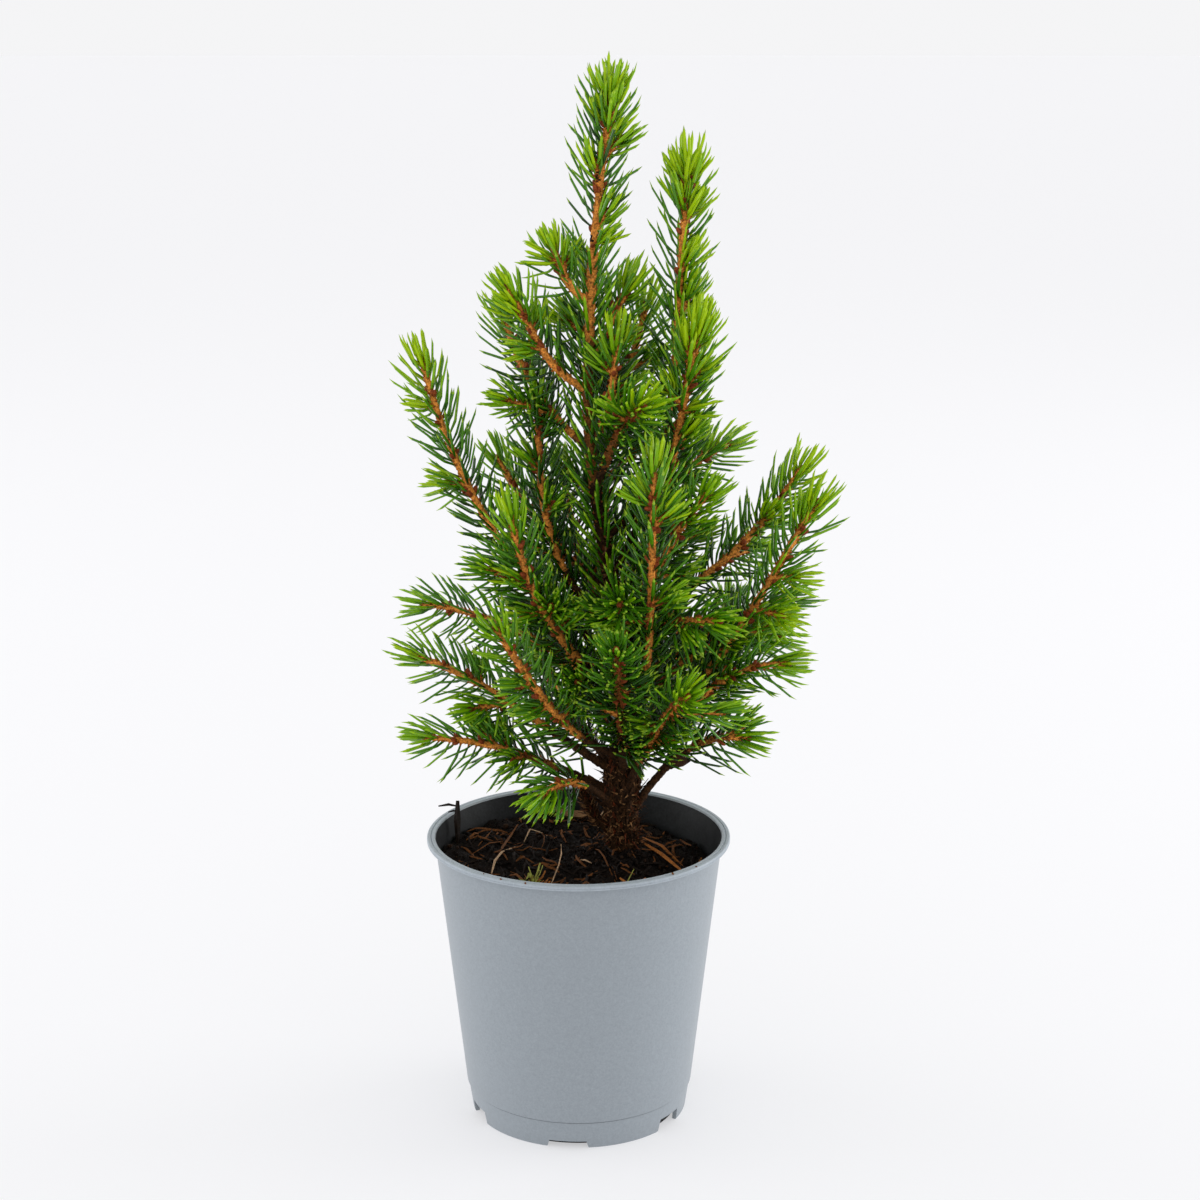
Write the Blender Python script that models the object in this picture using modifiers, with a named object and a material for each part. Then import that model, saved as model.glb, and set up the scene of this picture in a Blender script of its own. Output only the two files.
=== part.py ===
"""A young dwarf conifer in a small round plastic pot, as an assembly of closed solids.

Units are metres, +Z is up, and the origin is the centre of the pot's underside.
Heading 0 points to +X, 90 to +Y, and the plant's front faces -Y.
"""

import math
import random
from collections import namedtuple

import bmesh
import bpy
import numpy as np
from mathutils import Matrix, Quaternion, Vector

OBJECT_NAME = "potted_conifer"
GAP = 0.0003

# The pot, a nine-centimetre size
POT_HEIGHT = 0.086
POT_RIM_RADIUS = 0.045
POT_TOP_RADIUS = 0.0426
POT_STEP_RADIUS = 0.0335
POT_FOOT_RADIUS = 0.0319
POT_WALL = 0.0010
LIP_HEIGHT = 0.0014
RIM_EDGE = 0.0005
FLOOR_CORNER = 0.0010
FOOT_THICKENING = 0.0003
DRAFT = 0.0002
STEP_HEIGHT = 0.0076
STEP_DEPTH = 0.0005
FLOOR_UNDERSIDE = 0.0042
FLOOR_THICKNESS = 0.0012
CENTRE_PAD_RADIUS = 0.007
CENTRE_PAD_FLARE = 0.0008
ROUND_STEPS = 40
DRAIN_HOLES = 6
DRAIN_HOLE_RADIUS = 0.003
DRAIN_HOLE_SIDES = 10
DRAIN_CIRCLE_RADIUS = 0.019
DRAIN_TURN = 15.0

# The openings in the pot's foot, by heading: two shallow ones in the long feet, four deep ones between feet
FOOT_TURN = -96.0
SHALLOW_OPENING = (0.0120, 0.0017)
DEEP_OPENING = (0.0062, 0.0040)
DEEP_OPENING_SPREAD = 55.0
OPENING_REACH = 0.012
OPENING_TAPER = 0.82

# The soil, a plug that fills the pot and slopes down to the right
SOIL_LEVEL = 0.0777
SOIL_SLOPE = 0.055
SOIL_SLOPE_BACK = 0.03
SOIL_LUMP = 0.0011
LUMP_WAVES = (310.0, 270.0, 520.0)
SOIL_RINGS = 6
SEAT_RADIUS = 0.0100
SEAT_DEPTH = 0.0006
SEAT_BORDER = 0.012
SEAT_SIDES = 20

# The trunk: heights and sideways places of its line, and its thickness
TRUNK_FOOT = SOIL_LEVEL + GAP
TRUNK_LINE = (
    (0.0780, 0.0130, 0.0050),
    (0.1000, 0.0128, 0.0032),
    (0.1220, 0.0152, 0.0010),
    (0.1450, 0.0128, 0.0000),
    (0.1840, 0.0058, 0.0000),
    (0.2130, 0.0029, 0.0000),
    (0.2380, 0.0035, 0.0000),
    (0.2580, 0.0044, 0.0000),
)
TRUNK_STEPS = 15
TRUNK_STEP_GROWTH = 1.35
TRUNK_FOOT_RADIUS = 0.0056
TRUNK_TIP_RADIUS = 0.0015
TRUNK_TAPER = 2.8
FLARE_RADIUS = 0.0020
FLARE_HEIGHT = 0.0060
FLARE_CURVE = 1.3
ROOT_RIDGES = 5
ROOT_RIDGE_TURN = 64.0
ROOT_RIDGE_RADIUS = 0.0022
ROOT_RIDGE_TIP_RADIUS = 0.0008
ROOT_RIDGE_HEIGHT = 0.014
ROOT_RIDGE_OUT = 0.0005
ROOT_RIDGE_IN = 0.0034

# Boughs, and the stems and side twigs that carry needles
WOOD_RADIUS = 0.0011
WOOD_THICKENING = 0.011
BOUGH_STEP = 0.009
HANDLE_SHARE = 0.38
MEASURING_STEPS = 40
STEM_RADIUS = 0.0010
STEM_TIP_RADIUS = 0.0006
CORE_SWELL = 0.0008
CORE_SWELL_CURVE = 0.7
STEM_STEP = 0.010
TWIG_RADIUS = 0.0010
TWIG_TAPER = 0.6
TWIG_SPREAD = 50.0
TWIG_SPREAD_CHANCE = 8.0
TWIG_ROLL = 35.0
TWIG_MIN_STEM = 0.024
TWIG_STEP = 0.026
TWIG_MAX_LENGTH = 0.018
TWIG_LENGTH_SHARES = (0.42, 0.56)
TWIG_FIRST = 0.12
TWIG_LAST = 0.68
TWIG_BURIED = 0.12
TWIG_CLEARANCE = 1.2
TWIG_BARE = 0.35
STEEP = 0.35

# Needles, each larger than life, because it stands for about five
NEEDLE_LENGTH = 0.0128
NEEDLE_WIDTH = 0.0031
NEEDLE_SPACING = 0.0057
NEEDLE_ROOT_DEPTH = 0.0006
NEEDLE_BURIED = 0.12
NEEDLE_ANGLE_BACK = 58.0
NEEDLE_ANGLE_TIP = 16.0
NEEDLE_ANGLE_CURVE = 0.6
NEEDLE_LENGTH_CHANCE = (0.88, 1.06)
CROWN_LENGTH = 0.012
CROWN_NEEDLES = 5
CROWN_CROWDING = 1.25
TWIG_NEEDLES = 3
SPIRAL = 137.5
SPIRAL_CHANCE = 14.0
SAMPLE_STEP = 0.0010
POT_MOUTH_RADIUS = 0.039
FIRST_SEED = 1000
WOOD = -1
LOW_TONE = 0.8
HIGH_TONE = 1.2

# Each shoot: where its foot stands up the trunk, its heading, how far out and how high its tip is, the slope
# at which it leaves and ends, and the share of its length that is a bare bough.
Shoot = namedtuple("Shoot", "name foot heading reach top leave finish bough")
SHOOTS = (
    Shoot("leader", 0.258, 0, 0.005, 0.302, 84, 83, 0),
    Shoot("top_left", 0.245, -170, 0.011, 0.260, 36, 68, 0),
    Shoot("top_right", 0.231, 28, 0.013, 0.248, 52, 58, 0),
    Shoot("high_left", 0.220, -165, 0.023, 0.248, 30, 56, 0),
    Shoot("high_left_back", 0.203, 150, 0.029, 0.239, 36, 72, 0),
    Shoot("high_right", 0.206, -40, 0.010, 0.234, 62, 86, 0),
    Shoot("high_right_back", 0.204, 47, 0.024, 0.241, 50, 72, 0),
    Shoot("high_front", 0.193, -64, 0.031, 0.218, 52, 18, 0),
    Shoot("tall_right", 0.168, 11, 0.023, 0.280, 62, 84, 0.40),
    Shoot("inner_right", 0.161, -22, 0.026, 0.237, 60, 76, 0.36),
    Shoot("dome_right", 0.177, 27, 0.042, 0.200, 36, 22, 0.30),
    Shoot("mid_right_front", 0.153, -41, 0.033, 0.193, 50, 44, 0),
    Shoot("front_centre", 0.118, -79, 0.030, 0.203, 40, 88, 0.28),
    Shoot("front_right", 0.147, -51, 0.042, 0.159, 24, 6, 0),
    Shoot("front_left", 0.133, -95, 0.034, 0.164, 58, 8, 0),
    Shoot("front_low", 0.107, -94, 0.046, 0.154, 40, 38, 0),
    Shoot("mid_left", 0.150, 170, 0.024, 0.217, 40, 89, 0.28),
    Shoot("mid_left_back", 0.160, 147, 0.040, 0.195, 32, 56, 0),
    Shoot("tall_left", 0.141, 174, 0.058, 0.226, 38, 76, 0.38),
    Shoot("tall_front_left", 0.131, -141, 0.043, 0.188, 34, 76, 0.25),
    Shoot("front_left_side", 0.119, -149, 0.048, 0.172, 46, 14, 0),
    Shoot("left_back_arm", 0.130, 168, 0.062, 0.153, 30, 4, 0),
    Shoot("front_left_arm", 0.111, -134, 0.053, 0.158, 24, 52, 0.26),
    Shoot("left_arm", 0.106, 180, 0.061, 0.140, 32, 20, 0.32),
    Shoot("low_left_arm", 0.099, -176, 0.058, 0.116, 28, 4, 0.26),
    Shoot("rim_left", 0.096, -132, 0.035, 0.105, 40, -26, 0),
    Shoot("right_arm_back", 0.151, 10, 0.054, 0.194, 24, 56, 0.30),
    Shoot("right_arm", 0.117, -12, 0.054, 0.188, 42, 60, 0.30),
    Shoot("droop_right", 0.127, 7, 0.045, 0.145, 46, -10, 0),
    Shoot("far_right_back", 0.133, 26, 0.056, 0.152, 28, 6, 0),
    Shoot("low_right_arm", 0.110, -17, 0.048, 0.141, 46, 2, 0.26),
    Shoot("low_right_back", 0.112, 31, 0.042, 0.141, 28, 48, 0),
    Shoot("low_front_right", 0.103, -67, 0.044, 0.139, 46, 28, 0),
    Shoot("lowest_right", 0.096, -15, 0.038, 0.117, 58, -6, 0.45),
    Shoot("back_low_left", 0.104, 128, 0.048, 0.132, 30, 16, 0),
    Shoot("back_low_right", 0.102, 66, 0.046, 0.130, 30, 14, 0),
    Shoot("back_mid", 0.122, 96, 0.045, 0.160, 38, 50, 0),
    Shoot("back_mid_left", 0.142, 122, 0.034, 0.190, 44, 72, 0),
    Shoot("back_mid_right", 0.146, 60, 0.034, 0.197, 44, 70, 0),
    Shoot("back_high", 0.172, 88, 0.022, 0.222, 50, 80, 0),
    Shoot("back_top", 0.213, 92, 0.013, 0.252, 58, 80, 0),
)
OLD_STUB = Shoot("old_stub", 0.087, 172, 0.013, 0.0985, 20, 40, 1)

COLOURS = {
    "pot": (0.30, 0.34, 0.37),
    "soil": (0.010, 0.007, 0.005),
    "trunk": (0.055, 0.026, 0.013),
    "bough": (0.100, 0.045, 0.018),
    "foliage": (0.045, 0.130, 0.018),
}


def remove_everything():
    for old in list(bpy.data.objects):
        bpy.data.objects.remove(old)
    for old in list(bpy.data.collections):
        bpy.data.collections.remove(old)


def new_collection(name):
    collection = bpy.data.collections.new(name)
    bpy.context.scene.collection.children.link(collection)
    return collection


def material(name, colour, roughness):
    made = bpy.data.materials.new(name)
    made.use_nodes = True
    shader = made.node_tree.nodes["Principled BSDF"]
    shader.inputs["Base Color"].default_value = (*colour, 1.0)
    shader.inputs["Roughness"].default_value = roughness
    shader.inputs["Metallic"].default_value = 0.0
    return made


def mesh_object(name, bm, collection):
    mesh = bpy.data.meshes.new(name)
    bm.to_mesh(mesh)
    bm.free()
    made = bpy.data.objects.new(name, mesh)
    collection.objects.link(made)
    return made


def finish(part, surface, smooth_degrees=None):
    part.data.materials.clear()
    part.data.materials.append(surface)
    if smooth_degrees:
        part.data.shade_smooth()
        part.data.set_sharp_from_angle(angle=math.radians(smooth_degrees))
    return part


def apply_modifiers(part):
    """The object's mesh as its modifiers leave it, in place of the modifiers."""
    depsgraph = bpy.context.evaluated_depsgraph_get()
    depsgraph.update()
    mesh = bpy.data.meshes.new_from_object(part.evaluated_get(depsgraph))
    part.modifiers.clear()
    part.data = mesh


def direction(heading, slope):
    h, s = math.radians(heading), math.radians(slope)
    return Vector((math.cos(h) * math.cos(s), math.sin(h) * math.cos(s), math.sin(s)))


def turned(name, profile, collection):
    """A solid of revolution about Z from (radius, height) points that end on the axis."""
    bm = bmesh.new()
    points = [bm.verts.new((radius, 0.0, height)) for radius, height in profile]
    for a, b in zip(points, points[1:]):
        bm.edges.new((a, b))
    part = mesh_object(name, bm, collection)
    screw = part.modifiers.new("Turn", "SCREW")
    screw.steps = ROUND_STEPS
    screw.render_steps = ROUND_STEPS
    screw.use_merge_vertices = True
    screw.merge_threshold = 0.00001
    screw.use_normal_calculate = True
    apply_modifiers(part)
    return part


def cut(part, cutters):
    for cutter in cutters:
        difference = part.modifiers.new("Cut", "BOOLEAN")
        difference.operation = "DIFFERENCE"
        difference.solver = "EXACT"
        difference.object = cutter
    apply_modifiers(part)


def cutter(name, bm, collection):
    made = mesh_object(name, bm, collection)
    made.hide_render = True
    made.display_type = "WIRE"
    return made


def wall_radius(height):
    """The pot wall's outer radius above the step."""
    share = (height - STEP_HEIGHT) / (POT_HEIGHT - LIP_HEIGHT - STEP_HEIGHT)
    return POT_STEP_RADIUS + (POT_TOP_RADIUS - POT_STEP_RADIUS) * share


def foot_opening(name, heading, size, collection):
    width, height = size
    bm = bmesh.new()
    bmesh.ops.create_cube(bm, size=1.0)
    bmesh.ops.scale(bm, vec=(OPENING_REACH, width, 2 * height), verts=bm.verts)
    top = [v for v in bm.verts if v.co.z > 0]
    bmesh.ops.scale(bm, vec=(1.0, OPENING_TAPER, 1.0), verts=top)
    bmesh.ops.translate(bm, vec=(POT_FOOT_RADIUS, 0, 0), verts=bm.verts)
    bmesh.ops.rotate(bm, matrix=Matrix.Rotation(math.radians(heading), 3, "Z"), verts=bm.verts)
    return cutter(name, bm, collection)


def drain_hole(name, heading, collection):
    bm = bmesh.new()
    bmesh.ops.create_cone(
        bm, cap_ends=True, segments=DRAIN_HOLE_SIDES, radius1=DRAIN_HOLE_RADIUS, radius2=DRAIN_HOLE_RADIUS,
        depth=5 * FLOOR_THICKNESS
    )
    place = direction(heading, 0) * DRAIN_CIRCLE_RADIUS
    place.z = FLOOR_UNDERSIDE + FLOOR_THICKNESS / 2
    bmesh.ops.translate(bm, vec=place, verts=bm.verts)
    return cutter(name, bm, collection)


def make_pot(parts, cutters):
    lip_foot = POT_HEIGHT - LIP_HEIGHT
    floor_top = FLOOR_UNDERSIDE + FLOOR_THICKNESS
    inner_foot = POT_STEP_RADIUS - POT_WALL
    inner_top = wall_radius(POT_HEIGHT) - POT_WALL
    foot_inside = POT_FOOT_RADIUS - POT_WALL
    profile = (
        (0.0, floor_top),
        (inner_foot - FLOOR_CORNER, floor_top),
        (inner_foot - DRAFT, floor_top + FLOOR_CORNER),
        (inner_top, POT_HEIGHT - RIM_EDGE),
        (inner_top + RIM_EDGE, POT_HEIGHT),
        (POT_RIM_RADIUS - RIM_EDGE, POT_HEIGHT),
        (POT_RIM_RADIUS, POT_HEIGHT - RIM_EDGE),
        (POT_RIM_RADIUS, lip_foot),
        (POT_TOP_RADIUS, lip_foot),
        (POT_STEP_RADIUS, STEP_HEIGHT),
        (POT_STEP_RADIUS - STEP_DEPTH, STEP_HEIGHT - FOOT_THICKENING),
        (POT_FOOT_RADIUS, 0.0),
        (foot_inside - FOOT_THICKENING, 0.0),
        (foot_inside + DRAFT, FLOOR_UNDERSIDE),
        (CENTRE_PAD_RADIUS + CENTRE_PAD_FLARE, FLOOR_UNDERSIDE),
        (CENTRE_PAD_RADIUS, 0.0),
        (0.0, 0.0),
    )
    pot = turned("pot", profile, parts)
    openings = []
    for side in (0, 180):
        openings.append(foot_opening("shallow_opening", FOOT_TURN + side, SHALLOW_OPENING, cutters))
        for spread in (-DEEP_OPENING_SPREAD, DEEP_OPENING_SPREAD):
            openings.append(foot_opening("deep_opening", FOOT_TURN + side + spread, DEEP_OPENING, cutters))
    for hole in range(DRAIN_HOLES):
        openings.append(drain_hole("drain_hole", DRAIN_TURN + hole * 360 / DRAIN_HOLES, cutters))
    cut(pot, openings)
    finish(pot, material("Grey plastic", COLOURS["pot"], 0.45), 35)


def soil_height(x, y):
    """The soil's surface: a slope down to the right, low lumps, and a level seat under the trunk."""
    foot = Vector(TRUNK_LINE[0][1:])
    away = (Vector((x, y)) - foot).length
    across, back, fine = LUMP_WAVES
    lumps = math.sin(across * x + 1.3) * math.cos(back * y - 0.4) + 0.6 * math.sin(fine * (x + y)) - 0.9
    slope = -SOIL_SLOPE * (x - foot.x) + SOIL_SLOPE_BACK * (y - foot.y)
    settle = min(1.0, max(0.0, (away - SEAT_RADIUS) / SEAT_BORDER))
    return SOIL_LEVEL - SEAT_DEPTH + settle * (slope + SOIL_LUMP * lumps)


def make_soil(parts, cutters):
    floor = FLOOR_UNDERSIDE + FLOOR_THICKNESS + GAP
    edge = wall_radius(SOIL_LEVEL) - POT_WALL - GAP
    side_foot = POT_STEP_RADIUS - POT_WALL - DRAFT - 2 * GAP
    profile = [(edge * ring / SOIL_RINGS, SOIL_LEVEL) for ring in range(SOIL_RINGS + 1)]
    profile += [(side_foot, floor + FLOOR_CORNER), (side_foot - FLOOR_CORNER, floor), (0.0, floor)]
    soil = turned("soil", profile, parts)
    for vertex in soil.data.vertices:
        if vertex.co.z > SOIL_LEVEL - GAP:
            height = soil_height(vertex.co.x, vertex.co.y)
            radius = vertex.co.xy.length
            if radius > edge - GAP:
                vertex.co.xy *= (edge + wall_radius(height) - wall_radius(SOIL_LEVEL)) / radius
            vertex.co.z = height
    bm = bmesh.new()
    bmesh.ops.create_cone(
        bm, cap_ends=True, segments=SEAT_SIDES, radius1=SEAT_RADIUS, radius2=SEAT_RADIUS, depth=SEAT_RADIUS
    )
    bmesh.ops.translate(bm, vec=(*TRUNK_LINE[0][1:], SOIL_LEVEL + SEAT_RADIUS / 2), verts=bm.verts)
    cut(soil, [cutter("trunk_seat", bm, cutters)])
    finish(soil, material("Dark potting soil", COLOURS["soil"], 0.95), 50)


def trunk_point(height):
    """The trunk's centre at a height, on a smooth line through TRUNK_LINE."""
    knots = TRUNK_LINE
    height = min(max(height, knots[0][0]), knots[-1][0])
    i = max(k for k in range(len(knots) - 1) if knots[k][0] <= height)
    before, start = knots[max(i - 1, 0)], knots[i]
    end, after = knots[i + 1], knots[min(i + 2, len(knots) - 1)]
    span = end[0] - start[0]
    t = (height - start[0]) / span
    place = []
    for axis in (1, 2):
        slope_in = (end[axis] - before[axis]) / (end[0] - before[0]) * span
        slope_out = (after[axis] - start[axis]) / (after[0] - start[0]) * span
        if i == 0:
            slope_in = 0.0
        place.append(
            (2 * t**3 - 3 * t**2 + 1) * start[axis]
            + (t**3 - 2 * t**2 + t) * slope_in
            + (3 * t**2 - 2 * t**3) * end[axis]
            + (t**3 - t**2) * slope_out
        )
    return Vector((*place, height))


def trunk_radius(height):
    share = (height - TRUNK_FOOT) / (TRUNK_LINE[-1][0] - TRUNK_FOOT)
    plain = TRUNK_TIP_RADIUS + (TRUNK_FOOT_RADIUS - TRUNK_TIP_RADIUS) * (1 - share) ** TRUNK_TAPER
    return plain + FLARE_RADIUS * math.exp(-((height - TRUNK_FOOT) / FLARE_HEIGHT) ** FLARE_CURVE)


def limb(name, points, radii, collection, resolution=0):
    """A closed tube through the points, with a radius at each, as a mesh with welded caps."""
    curve = bpy.data.curves.new(name, "CURVE")
    curve.dimensions = "3D"
    curve.bevel_depth = 1.0
    curve.bevel_resolution = resolution
    curve.use_fill_caps = True
    spline = curve.splines.new("POLY")
    spline.points.add(len(points) - 1)
    for knot, point, radius in zip(spline.points, points, radii):
        knot.co = (*point, 1.0)
        knot.radius = radius
    source = bpy.data.objects.new(name, curve)
    collection.objects.link(source)
    depsgraph = bpy.context.evaluated_depsgraph_get()
    mesh = bpy.data.meshes.new_from_object(source.evaluated_get(depsgraph))
    bpy.data.objects.remove(source)
    bpy.data.curves.remove(curve)
    bm = bmesh.new()
    bm.from_mesh(mesh)
    bmesh.ops.remove_doubles(bm, verts=bm.verts, dist=0.00001)
    bmesh.ops.recalc_face_normals(bm, faces=bm.faces)
    bpy.data.meshes.remove(mesh)
    return mesh_object(name, bm, collection)


def make_trunk(parts, pieces):
    rise = TRUNK_LINE[-1][0] - TRUNK_FOOT
    shares = [(step / TRUNK_STEPS) ** TRUNK_STEP_GROWTH for step in range(TRUNK_STEPS + 1)]
    points = [trunk_point(TRUNK_FOOT + rise * share) for share in shares]
    level_ring = Vector((0, 0, 4 * GAP))
    points.insert(1, points[0] + level_ring)
    radii = [trunk_radius(point.z) for point in points]
    trunk = limb("trunk", points, radii, parts, resolution=3)
    foot = trunk_point(TRUNK_FOOT)
    ridge_radii = (ROOT_RIDGE_RADIUS, ROOT_RIDGE_RADIUS, ROOT_RIDGE_TIP_RADIUS)
    for ridge in range(ROOT_RIDGES):
        out = direction(ROOT_RIDGE_TURN + ridge * 360 / ROOT_RIDGES, 0)
        low = foot + out * (TRUNK_FOOT_RADIUS + ROOT_RIDGE_OUT)
        high = foot + out * ROOT_RIDGE_IN + Vector((0, 0, ROOT_RIDGE_HEIGHT))
        limb("root_ridge", (low, low + level_ring, high), ridge_radii, pieces, 1)
    fuse(trunk, pieces)
    finish(trunk, material("Dark bark", COLOURS["trunk"], 0.9), 60)


def fuse(core, pieces):
    """Joins a collection's objects to core with one union, keeps the outer body and removes the pieces."""
    union = core.modifiers.new("Join", "BOOLEAN")
    union.operation = "UNION"
    union.operand_type = "COLLECTION"
    union.collection = pieces
    union.solver = "EXACT"
    apply_modifiers(core)
    for piece in list(pieces.objects):
        bpy.data.objects.remove(piece)
    bm = bmesh.new()
    bm.from_mesh(core.data)
    keep_largest_body(bm)
    bm.to_mesh(core.data)
    bm.free()


def keep_largest_body(bm):
    left = set(bm.verts)
    bodies = []
    while left:
        front = [left.pop()]
        body = list(front)
        while front:
            near = [edge.other_vert(vert) for vert in front for edge in vert.link_edges]
            front = [vert for vert in set(near) if vert in left]
            left.difference_update(front)
            body += front
        bodies.append(body)
    largest = max(bodies, key=len)
    scraps = [vert for body in bodies if body is not largest for vert in body]
    bmesh.ops.delete(bm, geom=scraps, context="VERTS")


class Line:
    """A straight line from its root to its tip."""

    def __init__(self, root, tip):
        self.root = root
        self.tip = tip
        self.length = (tip - root).length

    def at(self, t):
        return self.root.lerp(self.tip, t)

    def tangent(self, t):
        return (self.tip - self.root).normalized()


class Twig(Line):
    """A side twig, rooted in its stem."""

    def radius(self, t):
        return TWIG_RADIUS


class Needle(Line):
    """A needle, thickest halfway along, rooted in its stem or twig."""

    def radius(self, t):
        return NEEDLE_WIDTH / 2 * (1 - abs(2 * t - 1))


class Stem:
    """A shoot's line from its foot to its tip, which its bough and then its foliage follow."""

    def __init__(self, shoot, order):
        self.shoot = shoot
        self.random = random.Random(FIRST_SEED + order)
        axis = trunk_point(shoot.foot)
        out = direction(shoot.heading, 0)
        if shoot.foot == TRUNK_LINE[-1][0]:
            self.root = axis + direction(shoot.heading, shoot.leave) * GAP
        else:
            lean = self.foot_radius() * math.sin(math.radians(shoot.leave))
            self.root = axis + out * (trunk_radius(shoot.foot) + GAP + lean)
        self.tip = axis + out * shoot.reach
        self.tip.z = shoot.top
        handle = (self.tip - self.root).length * HANDLE_SHARE
        self.first = self.root + direction(shoot.heading, shoot.leave) * handle
        self.second = self.tip - direction(shoot.heading, shoot.finish) * handle
        knots = [self.along(k / MEASURING_STEPS) for k in range(MEASURING_STEPS + 1)]
        self.whole = sum((b - a).length for a, b in zip(knots, knots[1:]))
        self.split = shoot.bough
        self.bare = shoot.bough + (GAP / self.whole if shoot.bough else 0.0)
        self.length = self.whole * (1 - self.bare)

    def foot_radius(self):
        if not self.shoot.bough:
            return STEM_RADIUS
        return WOOD_RADIUS + WOOD_THICKENING * self.shoot.reach

    def along(self, t):
        """The point at a share of the whole line, from the trunk to the tip."""
        a, b, c, d = self.root, self.first, self.second, self.tip
        return a * (1 - t) ** 3 + b * 3 * t * (1 - t) ** 2 + c * 3 * t**2 * (1 - t) + d * t**3

    def at(self, t):
        """The point at a share of the stretch that carries foliage."""
        return self.along(self.bare + (1 - self.bare) * t)

    def tangent(self, t):
        return (self.at(t + 0.01) - self.at(t - 0.01)).normalized()

    def radius(self, t):
        """The foliage's slim core, fullest a third of the way along."""
        plain = STEM_RADIUS + (STEM_TIP_RADIUS - STEM_RADIUS) * t
        return plain + CORE_SWELL * math.sin(math.pi * t**CORE_SWELL_CURVE)

    def wood_at(self, t):
        """The point at a share of the bare bough."""
        return self.along(self.split * t)

    def wood_radius(self, t):
        return self.foot_radius() + (STEM_RADIUS - self.foot_radius()) * t


def tube(line, radius_at, length, step, name, collection, resolution=0):
    """A limb along line(t), with a ring about every step."""
    count = max(2, round(length / step)) + 1
    shares = [k / (count - 1) for k in range(count)]
    return limb(name, [line(t) for t in shares], [radius_at(t) for t in shares], collection, resolution)


def side_twigs(stem):
    """Straight side twigs, left and right in turn, on a stem long enough to carry them."""
    if stem.length < TWIG_MIN_STEM:
        return []
    count = 1 + int(stem.length / TWIG_STEP)
    twigs = []
    for k in range(count):
        t = TWIG_FIRST + (TWIG_LAST - TWIG_FIRST) * (k + 0.5) / count
        along = stem.tangent(t)
        level = along.cross(Vector((0, 0, 1)))
        if level.length < STEEP:
            level = direction(stem.shoot.heading + 90, 0)
        side = level.normalized() * (1 if k % 2 else -1)
        side = Quaternion(along, math.radians(stem.random.uniform(-TWIG_ROLL, TWIG_ROLL))) @ side
        spread = math.radians(TWIG_SPREAD + stem.random.uniform(-TWIG_SPREAD_CHANCE, TWIG_SPREAD_CHANCE))
        length = min(TWIG_MAX_LENGTH, (1 - t) * stem.length * stem.random.uniform(*TWIG_LENGTH_SHARES))
        root = stem.at(t)
        twigs.append(Twig(root, root + (along * math.cos(spread) + side * math.sin(spread)) * length))
    return twigs


def needles_on(line, count, chance, bare=0.0):
    """Needles in a spiral from a line's tip back to its root, which close up to a crown at the tip."""
    turn = chance.uniform(0, 360)
    needles = []
    for k in range(count):
        t = bare + (1 - bare) * (1 - (k / count) ** CROWN_CROWDING)
        share = min(1.0, (1 - t) * line.length / CROWN_LENGTH)
        opened = (NEEDLE_ANGLE_BACK - NEEDLE_ANGLE_TIP) * share**NEEDLE_ANGLE_CURVE
        angle = math.radians(NEEDLE_ANGLE_TIP + opened)
        along = line.tangent(t)
        roll = math.radians(turn + k * SPIRAL + chance.uniform(-SPIRAL_CHANCE, SPIRAL_CHANCE))
        across = Quaternion(along, roll) @ along.orthogonal().normalized()
        root = line.at(t) - along * NEEDLE_ROOT_DEPTH
        reach = NEEDLE_LENGTH * chance.uniform(*NEEDLE_LENGTH_CHANCE)
        needles.append(Needle(root, root + (along * math.cos(angle) + across * math.sin(angle)) * reach))
    return needles


class Space:
    """What already stands in the crown, as sampled points with a radius and an owner."""

    def __init__(self):
        self.points = np.zeros((0, 3))
        self.radii = np.zeros(0)
        self.owners = np.zeros(0, int)

    def add(self, points, radii, owner):
        self.points = np.vstack([self.points, points])
        self.radii = np.concatenate([self.radii, radii])
        self.owners = np.concatenate([self.owners, np.full(len(radii), owner)])

    def is_free(self, points, radii, owner):
        """True if the points keep clear of every other owner's, and of the pot and the soil."""
        others = self.owners != owner
        apart = np.linalg.norm(points[:, None, :] - self.points[None, others, :], axis=2)
        clear = (apart > radii[:, None] + self.radii[None, others] + GAP).all()
        outward = np.hypot(points[:, 0], points[:, 1])
        over_pot = (points[:, 2] > POT_HEIGHT + NEEDLE_WIDTH) | (outward < POT_MOUTH_RADIUS)
        over_soil = points[:, 2] > SOIL_LEVEL + NEEDLE_WIDTH
        return bool(clear and over_pot.all() and over_soil.all())


def samples(line_at, radius_at, length, low=0.0, high=1.0):
    count = max(3, math.ceil(length * (high - low) / SAMPLE_STEP))
    shares = np.linspace(low, high, count)
    return np.array([line_at(t) for t in shares]), np.array([radius_at(t) for t in shares])


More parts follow.
